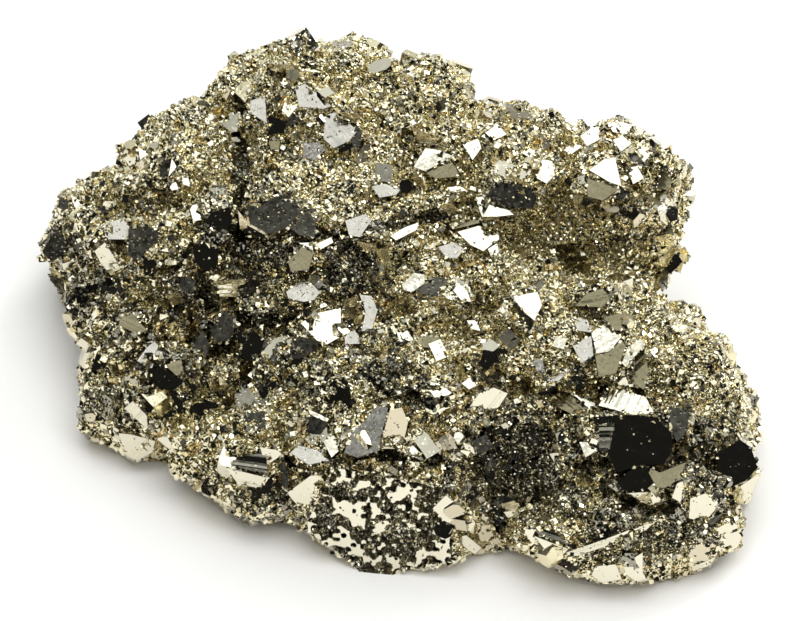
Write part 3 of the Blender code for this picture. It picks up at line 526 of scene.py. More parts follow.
# The sky brightens towards this direction, over this range of the cosine, from the first
# strength to the second. The floor, in metres.
SKY_WAY = (0.12, 0.62, 0.78)
SKY_RANGE = (0.25, 1.0)
SKY_STRENGTH = (0.012, 0.93)
SKY_COLOUR = (0.97, 1.0, 1.0, 1.0)
FLOOR_SIZE = 8.0
FLOOR_COLOUR = (0.92, 0.91, 0.89, 1.0)
FLOOR_ROUGHNESS = 0.9


# ---- noise on arrays of points ----

def hashed(cell, seed):
    """Three random numbers from 0 to 1 for each row of whole-number cell coordinates."""
    c = cell.astype(np.int64)
    h = (c[:, 0] * 73856093) ^ (c[:, 1] * 19349663) ^ (c[:, 2] * 83492791) ^ (seed * 2654435761)
    out = np.empty((len(c), 3))
    for k in range(3):
        h = (h ^ (h >> 15)) * 2246822519 & 0xFFFFFFFF
        h = (h ^ (h >> 13)) * 3266489917 & 0xFFFFFFFF
        h = h ^ (h >> 16)
        out[:, k] = (h & 0xFFFFFF) / float(0x1000000)
    return out


def smooth_noise(points, size, seed):
    """Soft noise from -1 to 1 with features of about the given size."""
    p = points / size
    base = np.floor(p)
    f = p - base
    f = f * f * (3.0 - 2.0 * f)
    total = np.zeros(len(p))
    for dx in (0, 1):
        for dy in (0, 1):
            for dz in (0, 1):
                corner = hashed(base + (dx, dy, dz), seed)[:, 0] * 2.0 - 1.0
                wx = f[:, 0] if dx else 1.0 - f[:, 0]
                wy = f[:, 1] if dy else 1.0 - f[:, 1]
                wz = f[:, 2] if dz else 1.0 - f[:, 2]
                total += corner * wx * wy * wz
    return total


def layered(points, layers):
    """Sum of layers of soft noise."""
    return sum(height * smooth_noise(points, size, seed) for size, height, seed in layers)


def nearest_cell(points, size, seed):
    """Distance to the nearest scattered seed, the offset from it and its random numbers."""
    p = points / size
    base = np.floor(p)
    best = np.full(len(p), 9.0)
    offset = np.zeros((len(p), 3))
    traits = np.zeros((len(p), 3))
    for dx in (-1, 0, 1):
        for dy in (-1, 0, 1):
            for dz in (-1, 0, 1):
                cell = base + (dx, dy, dz)
                away = p - cell - hashed(cell, seed)
                d = np.sqrt((away ** 2).sum(1))
                closer = d < best
                best = np.where(closer, d, best)
                offset[closer] = away[closer]
                traits[closer] = hashed(cell[closer], seed + 77)
    return best * size, offset * size, traits


def chips(points, size, slope, seed):
    """Height of a surface broken into small flat chips, each tipped its own way."""
    _, offset, traits = nearest_cell(points, size, seed)
    return 1.3 * slope * (offset * (traits * 2.0 - 1.0)).sum(1) + (traits[:, 0] - 0.5) * size * 0.25


def step(x, low, high):
    """Smooth step from 0 at low to 1 at high."""
    t = np.clip((x - low) / (high - low), 0.0, 1.0)
    return t * t * (3.0 - 2.0 * t)


# ---- the solid's faces ----

def solid_arrays(node):
    """Vertices in millimetres and triangles of a CAD node, with coincident vertices joined."""
    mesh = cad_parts[node].data
    mesh.calc_loop_triangles()
    v = np.empty(len(mesh.vertices) * 3)
    mesh.vertices.foreach_get("co", v)
    v = v.reshape(-1, 3) / MM
    t = np.empty(len(mesh.loop_triangles) * 3, dtype=np.int32)
    mesh.loop_triangles.foreach_get("vertices", t)
    grid = np.round(v * WELD_GRID).astype(np.int64)
    _, first, inverse = np.unique(grid, axis=0, return_index=True, return_inverse=True)
    t = inverse.reshape(-1)[t.reshape(-1, 3)]
    keep = (t[:, 0] != t[:, 1]) & (t[:, 1] != t[:, 2]) & (t[:, 0] != t[:, 2])
    return v[first], t[keep]


def cross_normals(v, t):
    """Normals of triangles, as long as twice their areas."""
    return np.cross(v[t[:, 1]] - v[t[:, 0]], v[t[:, 2]] - v[t[:, 0]])


def unit(rows):
    return rows / np.maximum(np.linalg.norm(rows, axis=1, keepdims=True), 1e-12)


def triangle_sides(t):
    """Both ends of every side: the first sides of all triangles, then the second, the third."""
    return np.concatenate([t[:, [0, 1]], t[:, [1, 2]], t[:, [2, 0]]])


def flat_groups(v, t):
    """Labels triangles that lie in one flat crystal face together."""
    normal = unit(cross_normals(v, t))
    side = triangle_sides(t)
    owner = np.tile(np.arange(len(t)), 3)
    side.sort(axis=1)
    order = np.lexsort((side[:, 1], side[:, 0]))
    side, owner = side[order], owner[order]
    same = (side[1:] == side[:-1]).all(1)
    parent = list(range(len(t)))

    def root(k):
        while parent[k] != k:
            parent[k] = parent[parent[k]]
            k = parent[k]
        return k

    for k in np.nonzero(same)[0]:
        a, b = owner[k], owner[k + 1]
        if normal[a] @ normal[b] > FLAT_COSINE:
            parent[root(a)] = root(b)
    labels = np.array([root(k) for k in range(len(t))])
    _, labels = np.unique(labels, return_inverse=True)
    return labels.reshape(-1)


def face_facts(v, t, labels):
    """Normal, area and middle of each flat face."""
    count = labels.max() + 1
    cross = cross_normals(v, t)
    area = np.linalg.norm(cross, axis=1) / 2.0
    size = np.bincount(labels, area, count)
    normal = np.column_stack([np.bincount(labels, cross[:, k], count) for k in range(3)])
    middle = np.column_stack([np.bincount(labels, v[t].mean(1)[:, k] * area, count) for k in range(3)])
    return unit(normal), size, middle / np.maximum(size, 1e-9)[:, None]


def region_values(points, column):
    """A column of REGIONS at each point."""
    across, up = flat_place(points)
    value = np.full(len(points), REGIONS[-1][column])
    for row in reversed(REGIONS[:-1]):
        value[np.hypot(across - row[0], up - row[1]) < row[2]] = row[column]
    return value


def flat_place(points):
    """Across and up of each point on the display plane."""
    away = points - PLANE_ORIGIN
    return away[:, 0], away @ UP


def seam_depth(points, outward):
    """Depth of the seams at each point that faces the viewer, and from 0 to 1 how far in it is."""
    across, up = flat_place(points)
    front = np.clip(SEAM_FRONT * (outward @ TOWARDS), 0.0, 1.0)
    wander = layered(points, SEAM_WANDER)
    depth = np.zeros(len(points))
    inside = np.zeros(len(points))
    for x0, y0, x1, y1, width, deep in SEAMS:
        run = np.array([x1 - x0, y1 - y0])
        along = np.clip(((across - x0) * run[0] + (up - y0) * run[1]) / (run @ run), 0.0, 1.0)
        away = np.hypot(across - x0 - along * run[0], up - y0 - along * run[1]) + wander
        share = front * (1.0 - step(away, SEAM_EDGE[0] * width, SEAM_EDGE[1] * width))
        depth = np.maximum(depth, deep * share)
        inside = np.maximum(inside, share)
    return depth, inside


def painted_shade_share(points, outward):
    """Share of dark crust at each point, which is painted shade in the darker places and the seams."""
    across, up = flat_place(points)
    share = np.full(len(points), LEAST_DARK_CRUST)
    for x, y, radius, dark in PAINTED_SHADE_ZONES:
        away = np.hypot(across - x, up - y)
        inner, outer = SHADE_EDGE[0] * radius, SHADE_EDGE[1] * radius
        share = np.maximum(share, dark * (1.0 - step(away, inner, outer)))
    _, inside = seam_depth(points, outward)
    return np.maximum(share, SEAM_SHADE * inside)


def search_tree(v, t):
    return BVHTree.FromPolygons([Vector(p) for p in v], [list(map(int, f)) for f in t])


def body_hit(tree, across, up):
    """Where the line of sight through a place meets the body, and which triangle it is in."""
    start = PLANE_ORIGIN + np.array([across, 0, 0]) + UP * up + TOWARDS * SIGHT_START
    hit = tree.ray_cast(Vector(start), Vector(-TOWARDS))
    return hit[0], hit[2]


def face_finishes(v, t, labels, normal, size, middle):
    """Finish of each flat face: those named in FACES, the rest by size and chance."""
    dice = hashed(np.floor(middle * 10.0), FINISH_SEED)[:, 0]
    clean = region_values(middle, CLEAN_SHARE)
    facet = size < FACET_AREA
    finish = np.full(len(size), "druse", dtype="<U10")
    finish[facet] = "grain"
    finish[facet & (dice < clean)] = "chipped"
    finish[facet & (dice > PITTED_ROLL)] = "pitted"
    finish[facet & (dice > STRIATED_ROLL)] = "striated"
    finish[(normal[:, 2] < BASE_FACING) & (middle[:, 2] < BASE_TOP)] = "base"
    tree = search_tree(v, t)
    for name, across, up in FACES:
        _, triangle = body_hit(tree, across, up)
        if triangle is not None:
            finish[labels[triangle]] = name
    return finish


def rim_distance(points, owner, rims):
    """Distance of each point from the rim of the flat face that owns it."""
    away = np.full(len(points), FAR_AWAY)
    order = np.argsort(owner, kind="stable")
    starts = np.searchsorted(owner[order], np.arange(len(rims) + 1))
    for k, (a, b) in enumerate(rims):
        rows = order[starts[k]:starts[k + 1]]
        if len(rows) == 0 or len(a) == 0:
            continue
        run = b - a
        offset = points[rows][:, None] - a[None]
        along = np.clip((offset * run).sum(2) / (run * run).sum(1), 0.0, 1.0)
        away[rows] = np.linalg.norm(offset - along[:, :, None] * run, axis=2).min(1)
    return away


def face_rims(v, t, labels, finish):
    """Ends of the boundary edges of each smooth face, none for the others."""
    side = triangle_sides(t)
    owner = np.tile(labels, 3)
    key = np.column_stack([owner, np.sort(side, axis=1)])
    _, first, count = np.unique(key, axis=0, return_index=True, return_counts=True)
    rows = first[count == 1]
    smooth = np.array([FINISHES[name][2] > CRUST_LEVEL for name in finish])
    rims = []
    for k in range(len(finish)):
        own = side[rows[owner[rows] == k]] if smooth[k] else side[:0]
        rims.append((v[own[:, 0]], v[own[:, 1]]))
    return rims


def wear(points):
    """How worn the surface is: eaten away where this is above a finish's level."""
    return layered(points, WEAR_LAYERS)


def pits(points):
    """Distance inside the nearest pit's rim, negative outside it, and that pit's number."""
    away, _, traits = nearest_cell(points, PIT_SPACING, PIT_SEED)
    return PIT_RADIUS[0] + PIT_RADIUS[1] * traits[:, 1] - away, traits[:, 0]


def cover_lines(normal, size, finish):
    """Two in-plane directions and distances per face, beyond which crust covers it."""
    radius = np.sqrt(size / math.pi)
    number = np.column_stack([np.arange(len(size))] * 3)
    lines = []
    for seed in COVER_SEEDS:
        dice = hashed(number, seed)
        way = unit(np.cross(normal, dice - 0.5))
        reach = radius * (COVER_NEAR + (COVER_FAR - COVER_NEAR) * dice[:, 0])
        reach[np.isin(finish, WHOLE_FINISHES)] = FAR_AWAY
        lines.append((way, reach))
    return lines


def covered(points, owner, middle, lines):
    """How far each point lies under the crust that covers its face, negative outside it."""
    under = np.full(len(points), -FAR_AWAY)
    wander = layered(points, COVER_WANDER)
    for way, reach in lines:
        beyond = ((points - middle[owner]) * way[owner]).sum(1) - reach[owner] + wander
        under = np.maximum(under, beyond)
    return under


def edge_limits(points, names, owner, rims, cover, facing_away, scale):
    """Longest edge allowed at each point: fine round pits and worn patches."""
    limit, share, level, _, rim_wear = np.array([FINISHES[name] for name in names]).T
    smooth = limit == SMOOTH_EDGE
    creep = rim_wear[smooth] * np.exp(-rim_distance(points[smooth], owner[smooth], rims) / RIM_WIDTH)
    depth, number = pits(points[smooth])
    in_pit = np.where(number < share[smooth], depth, -FAR_AWAY)
    worn = WORN_REACH * (wear(points[smooth]) + creep - level[smooth])
    under = covered(points[smooth], owner[smooth], *cover)
    eaten_edge = np.maximum(np.maximum(in_pit, worn), under)
    coarse = np.where(eaten_edge > 0.0, WORN_EDGE, limit[smooth])
    wanted = EDGE_GROWTH * np.abs(eaten_edge) + 0.5 * FINE_EDGE
    limit[smooth] = np.clip(wanted, FINE_EDGE, coarse)
    limit[facing_away] = np.maximum(limit[facing_away], FAR_EDGE)
    return limit * scale


def refine(v, t, labels, finish, rims, cover, hidden, scale):
    """Splits every edge longer than its place allows, until none is."""
    for _ in range(MOST_SPLITS):
        longest = edge_limits(v[t].mean(1), finish[labels], labels, rims, cover, hidden[labels], scale)
        edges = triangle_sides(t)
        low = edges.min(axis=1)
        high = edges.max(axis=1)
        key = low.astype(np.int64) * len(v) + high
        unique, inverse = np.unique(key, return_inverse=True)
        inverse = inverse.reshape(-1)
        a, b = unique // len(v), unique % len(v)
        length = np.linalg.norm(v[a] - v[b], axis=1)
        limit = np.full(len(unique), FAR_AWAY)
        np.minimum.at(limit, inverse, np.tile(longest, 3))
        split = length > limit
        if not split.any():
            break
        number = np.full(len(unique), -1)
        number[split] = len(v) + np.arange(split.sum())
        v = np.concatenate([v, (v[a[split]] + v[b[split]]) / 2.0])
        t, labels = split_triangles(v, t, labels, number[inverse].reshape(3, -1).T)
    return v, t, labels


def split_triangles(v, t, labels, mid):
    """Triangles cut at the midpoints given for their three sides, -1 meaning none."""
    cuts = (mid >= 0).sum(1)
    new_t = [t[cuts == 0]]
    new_l = [labels[cuts == 0]]
    for turn in range(3):
        r = [(turn + k) % 3 for k in range(3)]
        one = (cuts == 1) & (mid[:, r[0]] >= 0)
        a, b, c = t[one][:, r[0]], t[one][:, r[1]], t[one][:, r[2]]
        m = mid[one][:, r[0]]
        new_t += [np.column_stack([a, m, c]), np.column_stack([m, b, c])]
        new_l += [labels[one]] * 2
        two = (cuts == 2) & (mid[:, r[2]] < 0)
        a, b, c = t[two][:, r[0]], t[two][:, r[1]], t[two][:, r[2]]
        m, n = mid[two][:, r[0]], mid[two][:, r[1]]
        new_t.append(np.column_stack([m, b, n]))
        new_l.append(labels[two])
        s = np.linalg.norm(v[a] - v[n], axis=1) < np.linalg.norm(v[m] - v[c], axis=1)
        new_t += [np.column_stack([a[s], m[s], n[s]]), np.column_stack([a[s], n[s], c[s]])]
        new_t += [np.column_stack([a[~s], m[~s], c[~s]]), np.column_stack([m[~s], n[~s], c[~s]])]
        new_l += [labels[two][s]] * 2 + [labels[two][~s]] * 2
    a, b, c = t[cuts == 3].T
    m, n, o = mid[cuts == 3].T
    new_t += [np.column_stack([a, m, o]), np.column_stack([m, b, n]),
              np.column_stack([o, n, c]), np.column_stack([m, n, o])]
    new_l += [labels[cuts == 3]] * 4
    return np.concatenate(new_t), np.concatenate(new_l)


def vertex_normals(v, t):
    cross = cross_normals(v, t)
    total = np.zeros_like(v)
    for k in range(3):
        for axis in range(3):
            total[:, axis] += np.bincount(t[:, k], cross[:, axis], len(v))
    return unit(total)


# ---- relief ----

def spread(v, t, mask, value, into):
    """Raises the vertices of the masked triangles to at least this value."""
    picked = np.unique(t[mask])
    into[picked] = np.maximum(into[picked], value[picked])


def swell(points):
    """Soft lumps of the crust."""
    return layered(points, SWELL_LAYERS)


def relief(v, t, labels, finish, rims, cover):
    """Offset of every vertex along its normal, how polished it is, and how deep its face is
    eaten away."""
    names = finish[labels]
    on_druse = np.ones(len(v), dtype=bool)
    on_druse[np.unique(t[names != "druse"])] = False
    inside_pit, number = pits(v)
    rim = np.full(len(v), FAR_AWAY)
    np.minimum.at(rim, t.reshape(-1), rim_distance(v[t].reshape(-1, 3), np.repeat(labels, 3), rims))
    under = np.full(len(v), -FAR_AWAY)
    np.maximum.at(under, t.reshape(-1), covered(v[t].reshape(-1, 3), np.repeat(labels, 3), *cover))
    worn = wear(v)
    creep = np.exp(-rim / RIM_WIDTH)
    polish = np.zeros(len(v))
    depth = np.zeros(len(v))
    for name, (_, share, level, down, rim_wear) in FINISHES.items():
        if level < CRUST_LEVEL:
            continue
        hole = step(inside_pit, 0.0, PIT_EDGE) * (number < share)
        value = (1.0 - hole) * (1.0 - step(worn + rim_wear * creep, level, level + PIT_EDGE))
        value = value * (1.0 - step(under, 0.0, PIT_EDGE))
        spread(v, t, names == name, value, polish)
        spread(v, t, names == name, np.full(len(v), down), depth)
    fine = chips(v, *FINE_CHIPS)
    coarse = swell(v) + chips(v, *COARSE_CHIPS)
    grain = GRAIN_MIX[0] * chips(v, *GRAIN_CHIPS) + GRAIN_MIX[1] * fine
    rough = np.where(on_druse, coarse + fine - DRUSE_SINK, grain)
    rough = np.where(depth > DEEP_FINISH, EATEN_ROUGHNESS * rough, rough)
    return (rough - depth) * (1.0 - polish), polish, depth


def longest_side(v, t):
    """Direction of the longest boundary edge of a group of triangles."""
    side = triangle_sides(t)
    key = np.sort(side, axis=1)
    _, first, count = np.unique(key, axis=0, return_index=True, return_counts=True)
    rim = side[first[count == 1]]
    run = v[rim[:, 1]] - v[rim[:, 0]]
    longest = run[np.linalg.norm(run, axis=1).argmax()]
    return longest / np.linalg.norm(longest)


def striations(v, t, labels, solid, finish, normal):
    """Height of fine parallel steps across striated and ridged faces."""
    solid_v, solid_t, solid_labels = solid
    h = np.zeros(len(v))
    for k in np.nonzero((finish == "striated") | (finish == "ridged"))[0]:
        picked = np.unique(t[labels == k])
        along = longest_side(solid_v, solid_t[solid_labels == k])
        x = v[picked] @ np.cross(normal[k], along)
        if finish[k] == "ridged":
            x = x + layered(v[picked], RIDGE_WANDER)
            h[picked] = RIDGE_HEIGHT * np.abs((x / RIDGE_WIDTH) % 1.0 - 0.5)
        else:
            row = np.column_stack([x, 0 * x, 0 * x])
            _, away, traits = nearest_cell(row, STRIATION_WIDTH, STRIATION_SEED + k % 7)
            lean = STRIATION_SLOPE * away[:, 0] * (traits[:, 0] * 2.0 - 1.0)
            h[picked] = lean + STRIATION_STEP * traits[:, 1]
    return h


# ---- small crystals ----

class MeshParts:
    """Mesh arrays of parts that are joined into one piece."""

    def __init__(self):
        self.rows = []
        self.count = 0

    def add(self, v, t, slots):
        """Adds a part whose triangles count its own vertices, with one slot or one for each."""
        t = np.asarray(t)
        self.rows.append((v, t + self.count, np.broadcast_to(slots, len(t))))
        self.count += len(v)

    def joined(self):
        return [np.concatenate(column) for column in zip(*self.rows)]


def hull(points):
    """Convex mesh round some points: vertices and outward triangles."""
    bm = bmesh.new()
    for point in points:
        bm.verts.new(point)
    bmesh.ops.convex_hull(bm, input=bm.verts[:])
    bmesh.ops.triangulate(bm, faces=bm.faces[:])
    bmesh.ops.recalc_face_normals(bm, faces=bm.faces[:])
    bm.verts.index_update()
    v = np.array([vert.co[:] for vert in bm.verts])
    t = np.array([[vert.index for vert in face.verts] for face in bm.faces])
    bm.free()
    return v, t


def all_signs(*rows):
    """Each row with every choice of signs and every turn of its axes."""
    points = set()
    for row in rows:
        for turn in range(3):
            x, y, z = row[turn:] + row[:turn]
            for signs in range(8):
                a, b, c = 1 - (signs & 1) * 2, 1 - (signs & 2), 1 - (signs & 4) // 2
                points.add((a * x, b * y, c * z))
    return sorted(points)


# Forms of the small crystals, at a half size of about 1.
CUBE = hull(all_signs((1.0, 1.0, 1.0)))
OCTAHEDRON = hull(all_signs((1.5, 0.0, 0.0)))
PYRITE = hull(all_signs((0.8, 0.8, 0.8), (0.0, 1.2, 0.6)))
CUT_CUBE = hull(all_signs((1.0, 1.0, 0.55)))


def leaning_rotations(rng, normals, lean):
    """Rotation matrices whose third axes lean off the normals by chance."""
    third = unit(normals + rng.normal(size=normals.shape) * lean[:, None])
    first = unit(np.cross(third, rng.normal(size=normals.shape)))
    return np.stack([first, np.cross(third, first), third], axis=2)


def scatter_on(rng, v, t, count):
    """Random points on triangles, with the triangle of each."""
    area = np.linalg.norm(cross_normals(v, t), axis=1)
    pick = rng.choice(len(area), count, p=area / area.sum())
    a, b = rng.random((2, count, 1))
    over = a + b > 1.0
    a, b = np.where(over, 1.0 - a, a), np.where(over, 1.0 - b, b)
    corners = v[t[pick]]
    return corners[:, 0] * (1.0 - a - b) + corners[:, 1] * a + corners[:, 2] * b, pick


def crystals(rng, form, points, normals, half, sunk):
    """Joined mesh arrays of one crystal at each point."""
    shape_v, shape_t = form
    lean = np.where(rng.random(len(points)) < LOOSE_SHARE, LOOSE_LEAN, LEAN)
    turn = leaning_rotations(rng, normals, lean)
    stretch = half[:, None] * rng.uniform(*STRETCH, (len(points), 3))
    middle = points + normals * (half * sunk)[:, None]
    v = np.einsum("nij,nkj->nki", turn, shape_v[None] * stretch[:, None]) + middle[:, None]
    t = shape_t[None] + (np.arange(len(points)) * len(shape_v))[:, None, None]
    return v.reshape(-1, 3), t.reshape(-1, 3)


def small_crystals(rng, v, t, outward, count, half_range, sink, forms, slot_shares):
    """Mesh arrays and slots of crystals grown on triangles."""
    points, rows = scatter_on(rng, v, t, count)
    normals = outward[rows]
    half = half_range(points, rng)
    clear = points[:, 2] > half * CLEAR_OF_FLOOR
    points, normals, half = points[clear], normals[clear], half[clear]
    sunk = rng.uniform(*sink, len(points))
    form_of = rng.integers(0, len(forms), len(points))
    slots = rng.choice(list(slot_shares), len(points), p=list(slot_shares.values()))
    # Painted shade: small crystals in the darker places and the seams take the dark metal.
    slots = np.where(rng.random(len(points)) < painted_shade_share(points, normals), DARK, slots)
    parts = MeshParts()
    for number, form in enumerate(forms):
        m = form_of == number
        grown = crystals(rng, form, points[m], normals[m], half[m], sunk[m])
        parts.add(*grown, np.repeat(slots[m], len(form[1])))
    return parts.joined()


# ---- faces of single crystals ----

def facing(azimuth, elevation):
    """Unit vector that looks to an azimuth (0 is the front) and an elevation."""
    turn, tilt = math.radians(azimuth), math.radians(elevation)
    level = math.cos(tilt)
    return np.array([math.sin(turn) * level, -math.cos(turn) * level, math.sin(tilt)])


def body_height(tree, across, up):
    """How far the body stands out of the display plane at a place, None where it is absent."""
    place, _ = body_hit(tree, across, up)
    return None if place is None else (np.array(place) - PLANE_ORIGIN) @ TOWARDS


def trim(points, way, limit):
    """Part of a convex outline on the near side of a line."""
    kept = []
    for here, following in zip(points, points[1:] + points[:1]):
        a, b = here @ way - limit, following @ way - limit
        if a <= 0.0:
            kept.append(here)
        if a * b < 0.0:
            kept.append(here + (following - here) * (a / (a - b)))
    return kept


def striped(rng, outline, angle):
    """Strips of an outline as (strip outline, across way, middle, lean)."""
    turn = math.radians(angle)
    way = np.array([-math.sin(turn), math.cos(turn)])
    low, high = min(p @ way for p in outline), max(p @ way for p in outline)
    strips = []
    while low < high:
        width = rng.uniform(*STRIPES)
        strip = trim(trim(outline, way, low + width), -way, -low)
        if len(strip) > 2:
            strips.append((strip, way, low + width / 2.0, STRIPE_LEAN * rng.uniform(-1.0, 1.0)))
        low += width
    return strips


def raised(flat, height):
    """Points of the display plane at their heights, in space."""
    flat = np.asarray(flat)
    return PLANE_ORIGIN + flat[:, :1] * (1.0, 0.0, 0.0) + flat[:, 1:] * UP + np.outer(height, TOWARDS)


def fan(count):
    """Triangles that fill a convex outline."""
    return [[0, k, k + 1] for k in range(1, count - 1)]


def anticlockwise(outline):
    """Corners of an outline as arrays, in anticlockwise order."""
    corners = [np.array(p, dtype=float) for p in outline]
    turned = [a[0] * b[1] - a[1] * b[0] for a, b in zip(corners, corners[1:] + corners[:1])]
    return corners[::-1] if sum(turned) < 0.0 else corners


def face_plane(rng, tree, tone, outline):
    """Normal of a face, its fall per millimetre of the display plane, and the heights of
    its middle and of the body under it."""
    _, azimuth, elevation = TONES[tone]
    azimuth += rng.normal() * TURN_JITTER
    elevation += rng.normal() * TILT_JITTER
    normal = facing(azimuth, elevation)
    fall = np.array([normal[0], normal @ UP]) / (normal @ TOWARDS)
    centre = np.mean(outline, axis=0)
    ground = [body_height(tree, *p) for p in outline + [centre]]
    known = [h for h in ground if h is not None]
    middle = ground[-1] if ground[-1] is not None else max(known)
    need = [h + (p - centre) @ fall for h, p in zip(ground, outline) if h is not None]
    top = min(max(need + [middle]) + FACE_LIFT, middle + FACE_REACH)
    return normal, fall, top, middle


def add_sides(parts, flat, height, foot, slot):
    """Adds the sides of a crystal, which flare down to its foot, and its underside."""
    count = len(flat)
    centre = flat.mean(axis=0)
    root = centre + (flat - centre) * FACE_FLARE
    sides = []
    for a in range(count):
        b = (a + 1) % count
        sides += [[a, a + count, b], [b, a + count, b + count]]
    below = [[a + count, c + count, b + count] for a, b, c in fan(count)]
    v = np.concatenate([raised(flat, height), raised(root, np.full(count, foot))])
    # The sides take bronze, or the painted olive of an olive face; the underside takes the dark metal as
    # painted shade.
    side_slot = PAINTED_OLIVE if slot == PAINTED_OLIVE else BRONZE
    parts.add(v, sides + below, [side_slot] * len(sides) + [DARK] * len(below))


def add_specks(parts, rng, flat, height_at, normal, count, slot):
    """Adds grains scattered on a face."""
    centre = flat.mean(axis=0)
    for _ in range(count):
        a, b = rng.integers(0, len(flat), 2)
        towards_a = (flat[a] - centre) * rng.random() * SPECK_SPREAD[0]
        towards_b = (flat[b] - centre) * rng.random() * SPECK_SPREAD[1]
        place = (centre + towards_a + towards_b)[None]
        half = np.array([rng.uniform(*SPECK_HALF)])
        at = raised(place, height_at(place))
        parts.add(*crystals(rng, OCTAHEDRON, at, normal[None], half, np.array([SPECK_SINK])), slot)


def rim_places(rng, flat, height):
    """Places of the crust's grains that creep over some of the edges of a face."""
    rows = []
    for a, b, low, high in zip(flat, np.roll(flat, -1, axis=0), height, np.roll(height, -1)):
        spacing = RIM_STEP if rng.random() < RIM_SHARE else BARE_STEP
        count = int(np.linalg.norm(b - a) / spacing)
        share = rng.random(count)
        outward = unit(np.array([[b[1] - a[1], a[0] - b[0]]]))
        stray = outward * rng.normal(RIM_OUT, RIM_SPREAD, (count, 1))
        place = a + (b - a) * share[:, None] + stray
        rows.append(raised(place, low + (high - low) * share - RIM_DOWN))
    return np.concatenate(rows)


def add_rim_grains(parts, rng, flat, height, normal):
    """Adds the grains that creep over the rim of a face."""
    at = rim_places(rng, flat, height)
    if len(at) == 0:
        return
    half = rng.uniform(*RIM_GRAIN, len(at))
    sunk = rng.uniform(*RIM_SINK, len(at))
    v, t = crystals(rng, CUBE, at, np.tile(normal, (len(at), 1)), half, sunk)
    parts.add(v, t, rng.choice(RIM_SLOTS, len(at)).repeat(len(CUBE[1])))


def crystal_face(rng, tree, tone, stripes, specks, outline):
    """Mesh arrays and slots of one proud crystal: its face, sides, specks and rim grains."""
    slot = TONES[tone][0]
    outline = anticlockwise(outline)
    normal, fall, top, middle = face_plane(rng, tree, tone, outline)
    flat = np.array(outline)
    centre = flat.mean(axis=0)

    def height_at(places):
        return top - (places - centre) @ fall

    parts = MeshParts()
    strips = [(outline, centre, 0.0, 0.0)] if stripes is None else striped(rng, outline, stripes)
    for strip, way, along, lean in strips:
        strip = np.array(strip)
        parts.add(raised(strip, height_at(strip) + lean * (strip @ way - along)), fan(len(strip)), slot)
    height = height_at(flat)
    add_sides(parts, flat, height, min(height.min() - FACE_LEAST, middle - FACE_ROOT), slot)
    add_specks(parts, rng, flat, height_at, normal, specks, SPECKS.get(tone, DARK))
    add_rim_grains(parts, rng, flat, height, normal)
    return parts.joined()


def on_plane(x, y):
    """Across and up, to a tenth of a millimetre, of a pixel of the picture's frame."""
    return round((x - PICTURE_WIDTH / 2) * PIXEL, 1), round((PICTURE_HEIGHT / 2 - y) * PIXEL, 1)


def crystal_faces(solid_v, solid_t):
    """Mesh arrays and slots of all the single crystal faces."""
    rng = np.random.default_rng(FACES_SEED)
    tree = search_tree(solid_v, solid_t)
    parts = MeshParts()
    for tone, stripes, specks, *corners in CRYSTAL_FACES:
        outline = [on_plane(*corner) for corner in corners]
        if body_height(tree, *np.mean(outline, axis=0)) is not None:
            parts.add(*crystal_face(rng, tree, tone, stripes, specks, outline))
    v, t, slots = parts.joined()
    v[:, 2] = np.maximum(v[:, 2], FACE_CLEARANCE)
    return v, t, slots


# ---- materials ----

class Graph:
    """Shader nodes of a material or of the world."""

    def __init__(self, owner):
        owner.use_nodes = True
        self.nodes = owner.node_tree.nodes
        self.links = owner.node_tree.links

    def feed(self, node, socket, value):
        """Links an output to an input of a node, or sets the input to a value."""
        if isinstance(value, bpy.types.NodeSocket):
            self.links.new(value, node.inputs[socket])
        else:
            node.inputs[socket].default_value = value

    def add(self, kind, inputs, **settings):
        """New node, with its settings made before its inputs are fed."""
        node = self.nodes.new("ShaderNode" + kind)
        for name, value in settings.items():
            setattr(node, name, value)
        for socket, value in inputs.items():
            self.feed(node, socket, value)
        return node

    def ranged(self, value, low, high, **settings):
        """Maps a value from one range to another."""
        inputs = {"Value": value, "From Min": low[0], "From Max": low[1]}
        inputs.update({"To Min": high[0], "To Max": high[1]})
        return self.add("MapRange", inputs, **settings).outputs["Result"]

    def noise(self, place, scale, detail):
        return self.add("TexNoise", {"Vector": place, "Scale": scale, "Detail": detail}).outputs["Fac"]

    def cells(self, place, scale):
        return self.add("TexVoronoi", {"Vector": place, "Scale": scale}).outputs

    def bump(self, height, distance, normal):
        inputs = {"Strength": 1.0, "Distance": distance * MM, "Height": height, "Normal": normal}
        return self.add("Bump", inputs).outputs["Normal"]

    def vector(self, operation, *inputs):
        return self.add("VectorMath", dict(enumerate(inputs)), operation=operation).outputs["Vector"]


def facet_normal(graph, place, scale, tilt):
    """Surface broken into tiny flat grains, each tipped its own way."""
    centred = graph.vector("SUBTRACT", graph.cells(place, scale)["Color"], (0.5, 0.5, 0.5))
    surface = graph.add("NewGeometry", {}).outputs["Normal"]
    return graph.vector("NORMALIZE", graph.vector("MULTIPLY_ADD", centred, (tilt, tilt, tilt), surface))


